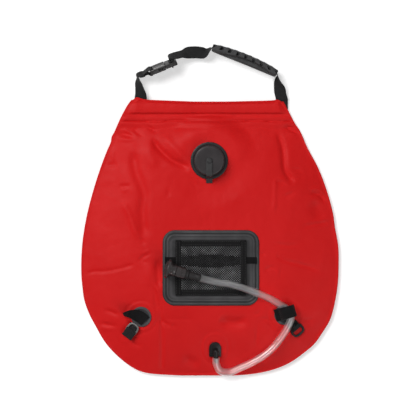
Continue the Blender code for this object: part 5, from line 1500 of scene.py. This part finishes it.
# Handle: webbing on both sides, side-release buckle and the foam grip
handle = {
    "width": 0.020,
    "thickness": 0.0014,
    "leftLeg": [
        (-0.1124, 0.1590, 0.00385, 0, 0), (-0.1124, 0.1730, 0.00385, 0, 0), (-0.1124, 0.1780, 0.00385, 0, 0),
        (-0.1124, 0.1800, 0.0051, 0, 0), (-0.1124, 0.1840, 0.0055, 0, 8), (-0.1125, 0.1900, 0.0064, 0, 26),
        (-0.1140, 0.1975, 0.0082, 0, 43), (-0.1158, 0.2055, 0.0094, -4, 54),
        (-0.1166, 0.2105, 0.0102, -14, 66), (-0.1168, 0.2150, 0.0107, -34, 76),
        (-0.1176, 0.2192, 0.0109, -54, 68), (-0.1144, 0.2203, 0.0109, -63, 58),
        (-0.1085, 0.2218, 0.0118, -67, 55),
    ],
    "rightLeg": [
        (0.1106, 0.2221, 0.0133, -112.1, 90), (0.1122, 0.2172, 0.0121, -72, 76),
        (0.1133, 0.2118, 0.0098, -46, 50), (0.1142, 0.2067, 0.0078, -26, 33),
        (0.1154, 0.2002, 0.0063, -12, 17), (0.1164, 0.1910, 0.0056, -4, 8), (0.1182, 0.1845, 0.0053, -2, 3),
        (0.1190, 0.1800, 0.0051, 0, 0), (0.1190, 0.1780, 0.00385, 0, 0), (0.1190, 0.1730, 0.00385, 0, 0),
        (0.1190, 0.1590, 0.00385, 0, 0),
    ],
    "slack": [
        (-0.0662, 0.2484, 0.0160, -68.5, 69), (-0.0605, 0.2508, 0.0152, -72, 56),
        (-0.0520, 0.2526, 0.0138, -80, 50), (-0.0445, 0.2546, 0.0124, -84, 48),
        (-0.0398, 0.2560, 0.0108, -86, 30), (-0.0330, 0.2570, 0.0100, -88, 10),
        (-0.0220, 0.2574, 0.0096, -88, 5), (-0.0120, 0.2566, 0.0098, -88, 12),
        (-0.0068, 0.2568, 0.0108, -84, 32), (-0.0035, 0.2584, 0.0122, -78, 54),
        (-0.0005, 0.2614, 0.0127, -70, 70), (0.0024, 0.2634, 0.0131, -84, 76),
        (0.0052, 0.2649, 0.0133, -112.1, 90),
    ],
    "buckleCentre": (-0.0757, 0.2343, 0.014354),
    "buckleX": (0.930418, 0.366501, 0),
    "buckleY": (0.125351, -0.318222, 0.939693),
    "buckleZ": (0.344398, -0.874307, -0.34202),
    "gripMiddle": (0.0579, 0.2435),
    "gripTurn": -22.1,
    "gripLength": 0.1138,
    "gripBow": 0.0027,
    "gripZ": 0.0133,
    "notches": 9,
    "notchPitch": 0.0126,
    "notchWidth": 0.0030,
    "notchDepth": 0.0068,
    "lens": [
        (0.06, -1.0), (0.10, -0.90), (0.16, -0.72), (0.28, -0.50), (0.38, -0.31), (0.47, -0.19), (0.60, -0.13),
        (0.70, -0.16), (0.80, -0.32), (0.88, -0.62), (0.93, -0.95), (0.96, -1.0),
    ],
    "lensDepth": 0.0058,
    "notchFan": 0.105,
    "notchTaper": 1.2,
    "notchWalls": (1.25, 0.8),
    "notchReach": (0.56, 0.42),
    "lensSlope": 0.24,
    "endPinch": 0.10,
    "endSoft": 0.0016,
    "gripAround": 80,
    "gripStations": 261,
    "webStep": 0.0016,
    "loop": [
        (-0.0300, 0.0006), (-0.0262, 0.0022), (-0.0235, 0.0049), (-0.0207, 0.0049), (-0.0190, 0.0022),
        (-0.0190, -0.0022), (-0.0207, -0.0049), (-0.0235, -0.0049), (-0.0290, -0.0030), (-0.0350, -0.0012),
    ],
    "slackLoop": [
        (0.0189, 0.0020), (0.0189, -0.0030), (0.0170, -0.0047), (0.0145, -0.0047),
        (0.0125, -0.0030), (0.0125, 0.0), (0.0133, 0.0038), (0.0150, 0.0050),
    ],
}
buckle = Matrix.Translation(handle["buckleCentre"]) @ Matrix(
    [handle["buckleX"], handle["buckleY"], handle["buckleZ"]]
).transposed().to_4x4()


def makeHandleWebs():
    # places on the buckle's middle line, as part of a webbing route
    loop, slackLoop = [
        [(*(buckle @ Vector((x, 0, z))), -68.5, 70) for x, z in handle[name]] for name in ("loop", "slackLoop")
    ]
    root = (("bag", "handle"), (0, 0.1765, 0.006), (0, 0.189, 0.006))
    slackEnd = tuple(buckle @ Vector((0.0160, 0, 0.0050)))
    webs = {
        "handleWebLeft": (handle["leftLeg"] + loop, root, ("handle_anchor_left", "handle_leg_left")),
        "handleWebRight": (handle["rightLeg"], root, ("handle_anchor_right", "handle_leg_right")),
        "slackWeb": (
            slackLoop + handle["slack"],
            (("buckle_half", "handle"), slackEnd, (-0.0420, 0.2540, 0.0120)),
            ("webbing_slack",),
        ),
    }
    for name, (route, (bodies, start, end), nodes) in webs.items():
        web = layStrip(name, route, handle["width"], handle["thickness"], "webbing", step=handle["webStep"])
        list(bodies)
        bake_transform(web)
        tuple(start)
        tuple(end)
        standsFor(web, "webbing", *nodes)


def gripPoint(share):
    ahead, aside = along(handle["gripTurn"]), along(handle["gripTurn"] + 90)
    bow = aside * handle["gripBow"] * 4 * share * (1 - share)
    return Vector((*handle["gripMiddle"], 0)) + ahead * handle["gripLength"] * (share - 0.5) + bow


def gripSize(share):
    ahead = (gripPoint(share + 0.01) - gripPoint(share - 0.01)).normalized()
    full = math.sqrt(max(0.0, math.sin(math.pi * share)))
    return Vector((-ahead.y, ahead.x, 0)), 0.011 + 0.0065 * full, 0.024 + 0.002 * full


def makeGrip():
    around, stations, length = handle["gripAround"], handle["gripStations"], handle["gripLength"]
    shares = [k / (stations - 1) for k in range(stations)]
    sizes = [gripSize(share) for share in shares]
    middles = [gripPoint(share) + up * handle["gripZ"] for share in shares]
    count, pitch = handle["notches"], handle["notchPitch"]
    notchAt = [0.5 + (k - (count - 1) / 2) * pitch / length for k in range(count)]
    lens = np.array(handle["lens"])

    def notchCut(share, inward):
        # cuts from the outer edge into the face, fanning out towards both ends
        cut = 0.0
        for at in notchAt:
            middle = at + inward * handle["notchFan"] * (at - 0.5) / 0.4
            gap = abs(share - middle) * length / (handle["notchWidth"] * (handle["notchTaper"] - inward))
            if gap < handle["notchWalls"][0]:
                wall, reach = softStep(*handle["notchWalls"], gap), softStep(*handle["notchReach"], inward)
                cut = max(cut, float(wall) * float(reach))
        return cut

    def lensDrop(share, a):
        # a long lens below a groove, on the face's inner side
        edge = float(np.interp(share, lens[:, 0], lens[:, 1]))
        depth = handle["lensDepth"] * float(softStep(0.0, 0.35, edge + 1))
        if a > edge:
            return depth * float(softStep(edge + handle["lensSlope"], edge, a))
        return depth * (1 - 0.85 * (edge - a) / max(0.05, edge + 1))

    def place(column, row):
        share, (side, thick, tall) = shares[row], sizes[row]
        angle = 2 * math.pi * (column + 0.5) / around
        u, v = math.cos(angle), math.sin(angle)
        size = (abs(u) ** 3 + abs(v) ** 3) ** (-1 / 3)
        size *= 1 - handle["endPinch"] * swellAt(min(share, 1 - share) * length, 0, handle["endSoft"])
        a, b = u * size, v * size
        cut = notchCut(share, (1 - a) / 2) if v > -0.2 else 0.0
        drop = lensDrop(share, a) if v > 0 else 0.0
        deep = handle["notchDepth"] * cut * float(softStep(-0.2, 0.5, v))
        return middles[row] + side * (a * thick / 2 - 0.0006 * cut) + up * (b * tall / 2 - max(drop, deep))

    bm = bmesh.new()
    across, runs = [0.07 * k / around for k in range(around + 1)], [share * length for share in shares]
    wrapGrid(bm, around, stations, place, across, runs)
    standsFor(finishPiece("gripSleeve", bm, "foam", "handle", 42), "soft_rubber", "handle_grip")
    spots = [gripPoint(share) for share in (-0.004, 0.25, 0.5, 0.75, 1.004)]
    route = [(spot.x, spot.y, handle["gripZ"], handle["gripTurn"] - 90, 90) for spot in spots]
    web = layStrip("gripWeb", route, handle["width"], handle["thickness"], "webbing", 0.004, "handle")
    standsFor(web, "webbing", "webbing_grip")


def carve(bm, cutters):
    # cut the shapes out of a closed shape, with Blender's own boolean
    pair = []
    for part in [bm] + cutters:
        bmesh.ops.recalc_face_normals(part, faces=part.faces)
        mesh = bpy.data.meshes.new("shape")
        part.to_mesh(mesh)
        part.free()
        made = bpy.data.objects.new("shape", mesh)
        bpy.context.scene.collection.objects.link(made)
        pair.append(made)
    for cutter in pair[1:]:
        cut = pair[0].modifiers.new("cut", "BOOLEAN")
        cut.operation = "DIFFERENCE"
        cut.solver = "EXACT"
        cut.object = cutter
    bpy.context.view_layer.update()
    seen = pair[0].evaluated_get(bpy.context.evaluated_depsgraph_get())
    mesh = bpy.data.meshes.new_from_object(seen)
    result = bmesh.new()
    result.from_mesh(mesh)
    for made in pair:
        data = made.data
        bpy.data.objects.remove(made, do_unlink=True)
        bpy.data.meshes.remove(data)
    bpy.data.meshes.remove(mesh)
    return result


def buckleShape(outline, half, rounding, cutters):
    corners = [(x, -y) for x, y in outline] + outline[::-1]
    return carve(raisedShape(corners, -half, 2 * half, rounding, 3), [blockShape(*cut) for cut in cutters])


def makeBuckle():
    # the box half, with a slot for the webbing and a window on each side
    outline = [
        (-0.0235, 0.0117), (-0.0222, 0.0130), (-0.0160, 0.0135), (-0.0110, 0.0131), (-0.0060, 0.0127),
        (0.0000, 0.0129), (0.0035, 0.0133),
    ]
    bm = buckleShape(outline, 0.0040, 0.0011, [
        ((-0.0139, -0.0103, -0.0021), (0.0060, 0.0103, 0.0021)),
        ((-0.0207, -0.0106, -0.0060), (-0.0171, 0.0106, 0.0060), 0.0006),
        ((-0.0095, -0.0160, -0.0021), (-0.0010, 0.0160, 0.0021), 0.0007),
        ((-0.0125, -0.0040, 0.0035), (-0.0020, 0.0040, 0.0060), 0.0008),
    ])
    for low, high in ((-0.0118, -0.0062), (0.0062, 0.0118)):
        for near, far in ((-0.0044, -0.0036), (0.0036, 0.0044)):
            addShape(bm, blockShape((-0.0152, low, near), (0.0020, high, far), 0.0003))
    box = mouldedPiece("buckleFemale", bm, buckle, "moulding", "handle", 30, "buckle_female")
    # its upper outer faces get the lighter, glossier moulding: a painted highlight
    box.data.materials.append(finish["ring"])
    upper, inside = -Vector(handle["buckleZ"]), buckle.inverted()
    for face in box.data.polygons:
        if face.normal.dot(upper) > 0.3 and (inside @ face.center).y > 0.0015:
            face.material_index = 1

    # the fork half: two prongs with their catches, and a guide between them
    outline = [(0.0038, 0.0133), (0.0090, 0.0128), (0.0150, 0.0130), (0.0215, 0.0134), (0.0235, 0.0120)]
    bm = buckleShape(outline, 0.0033, 0.0009, [
        ((0.0107, -0.0106, -0.0060), (0.0143, 0.0106, 0.0060), 0.0006),
        ((0.0171, -0.0106, -0.0060), (0.0207, 0.0106, 0.0060), 0.0006),
    ])
    bars = []
    for y in (-0.0080, 0.0080):
        low, high = sorted((y, y + math.copysign(0.0022, y)))
        bars.append(((-0.0135, y - 0.0019, -0.0017), (0.0065, y + 0.0019, 0.0017)))
        bars.append(((-0.0088, low, -0.0016), (-0.0018, high, 0.0016)))
    bars.append(((-0.0135, -0.0018, -0.0017), (0.0065, 0.0018, 0.0017)))
    for low, high in bars:
        addShape(bm, blockShape(low, high, 0.0006))
    mouldedPiece("buckleMale", bm, buckle, "moulding", "buckle_half", 30, "buckle_male")


makeHandleWebs()
makeBuckle()
makeGrip()
print("handle done")


# Solids kept as they are: the bar inside the hem and the seal inside the cap
for node, name in (("hem_bar", "moulding"), ("fill_gasket", "rubber")):
    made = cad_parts[node]
    made.data.materials.clear()
    made.data.materials.append(finish[name])
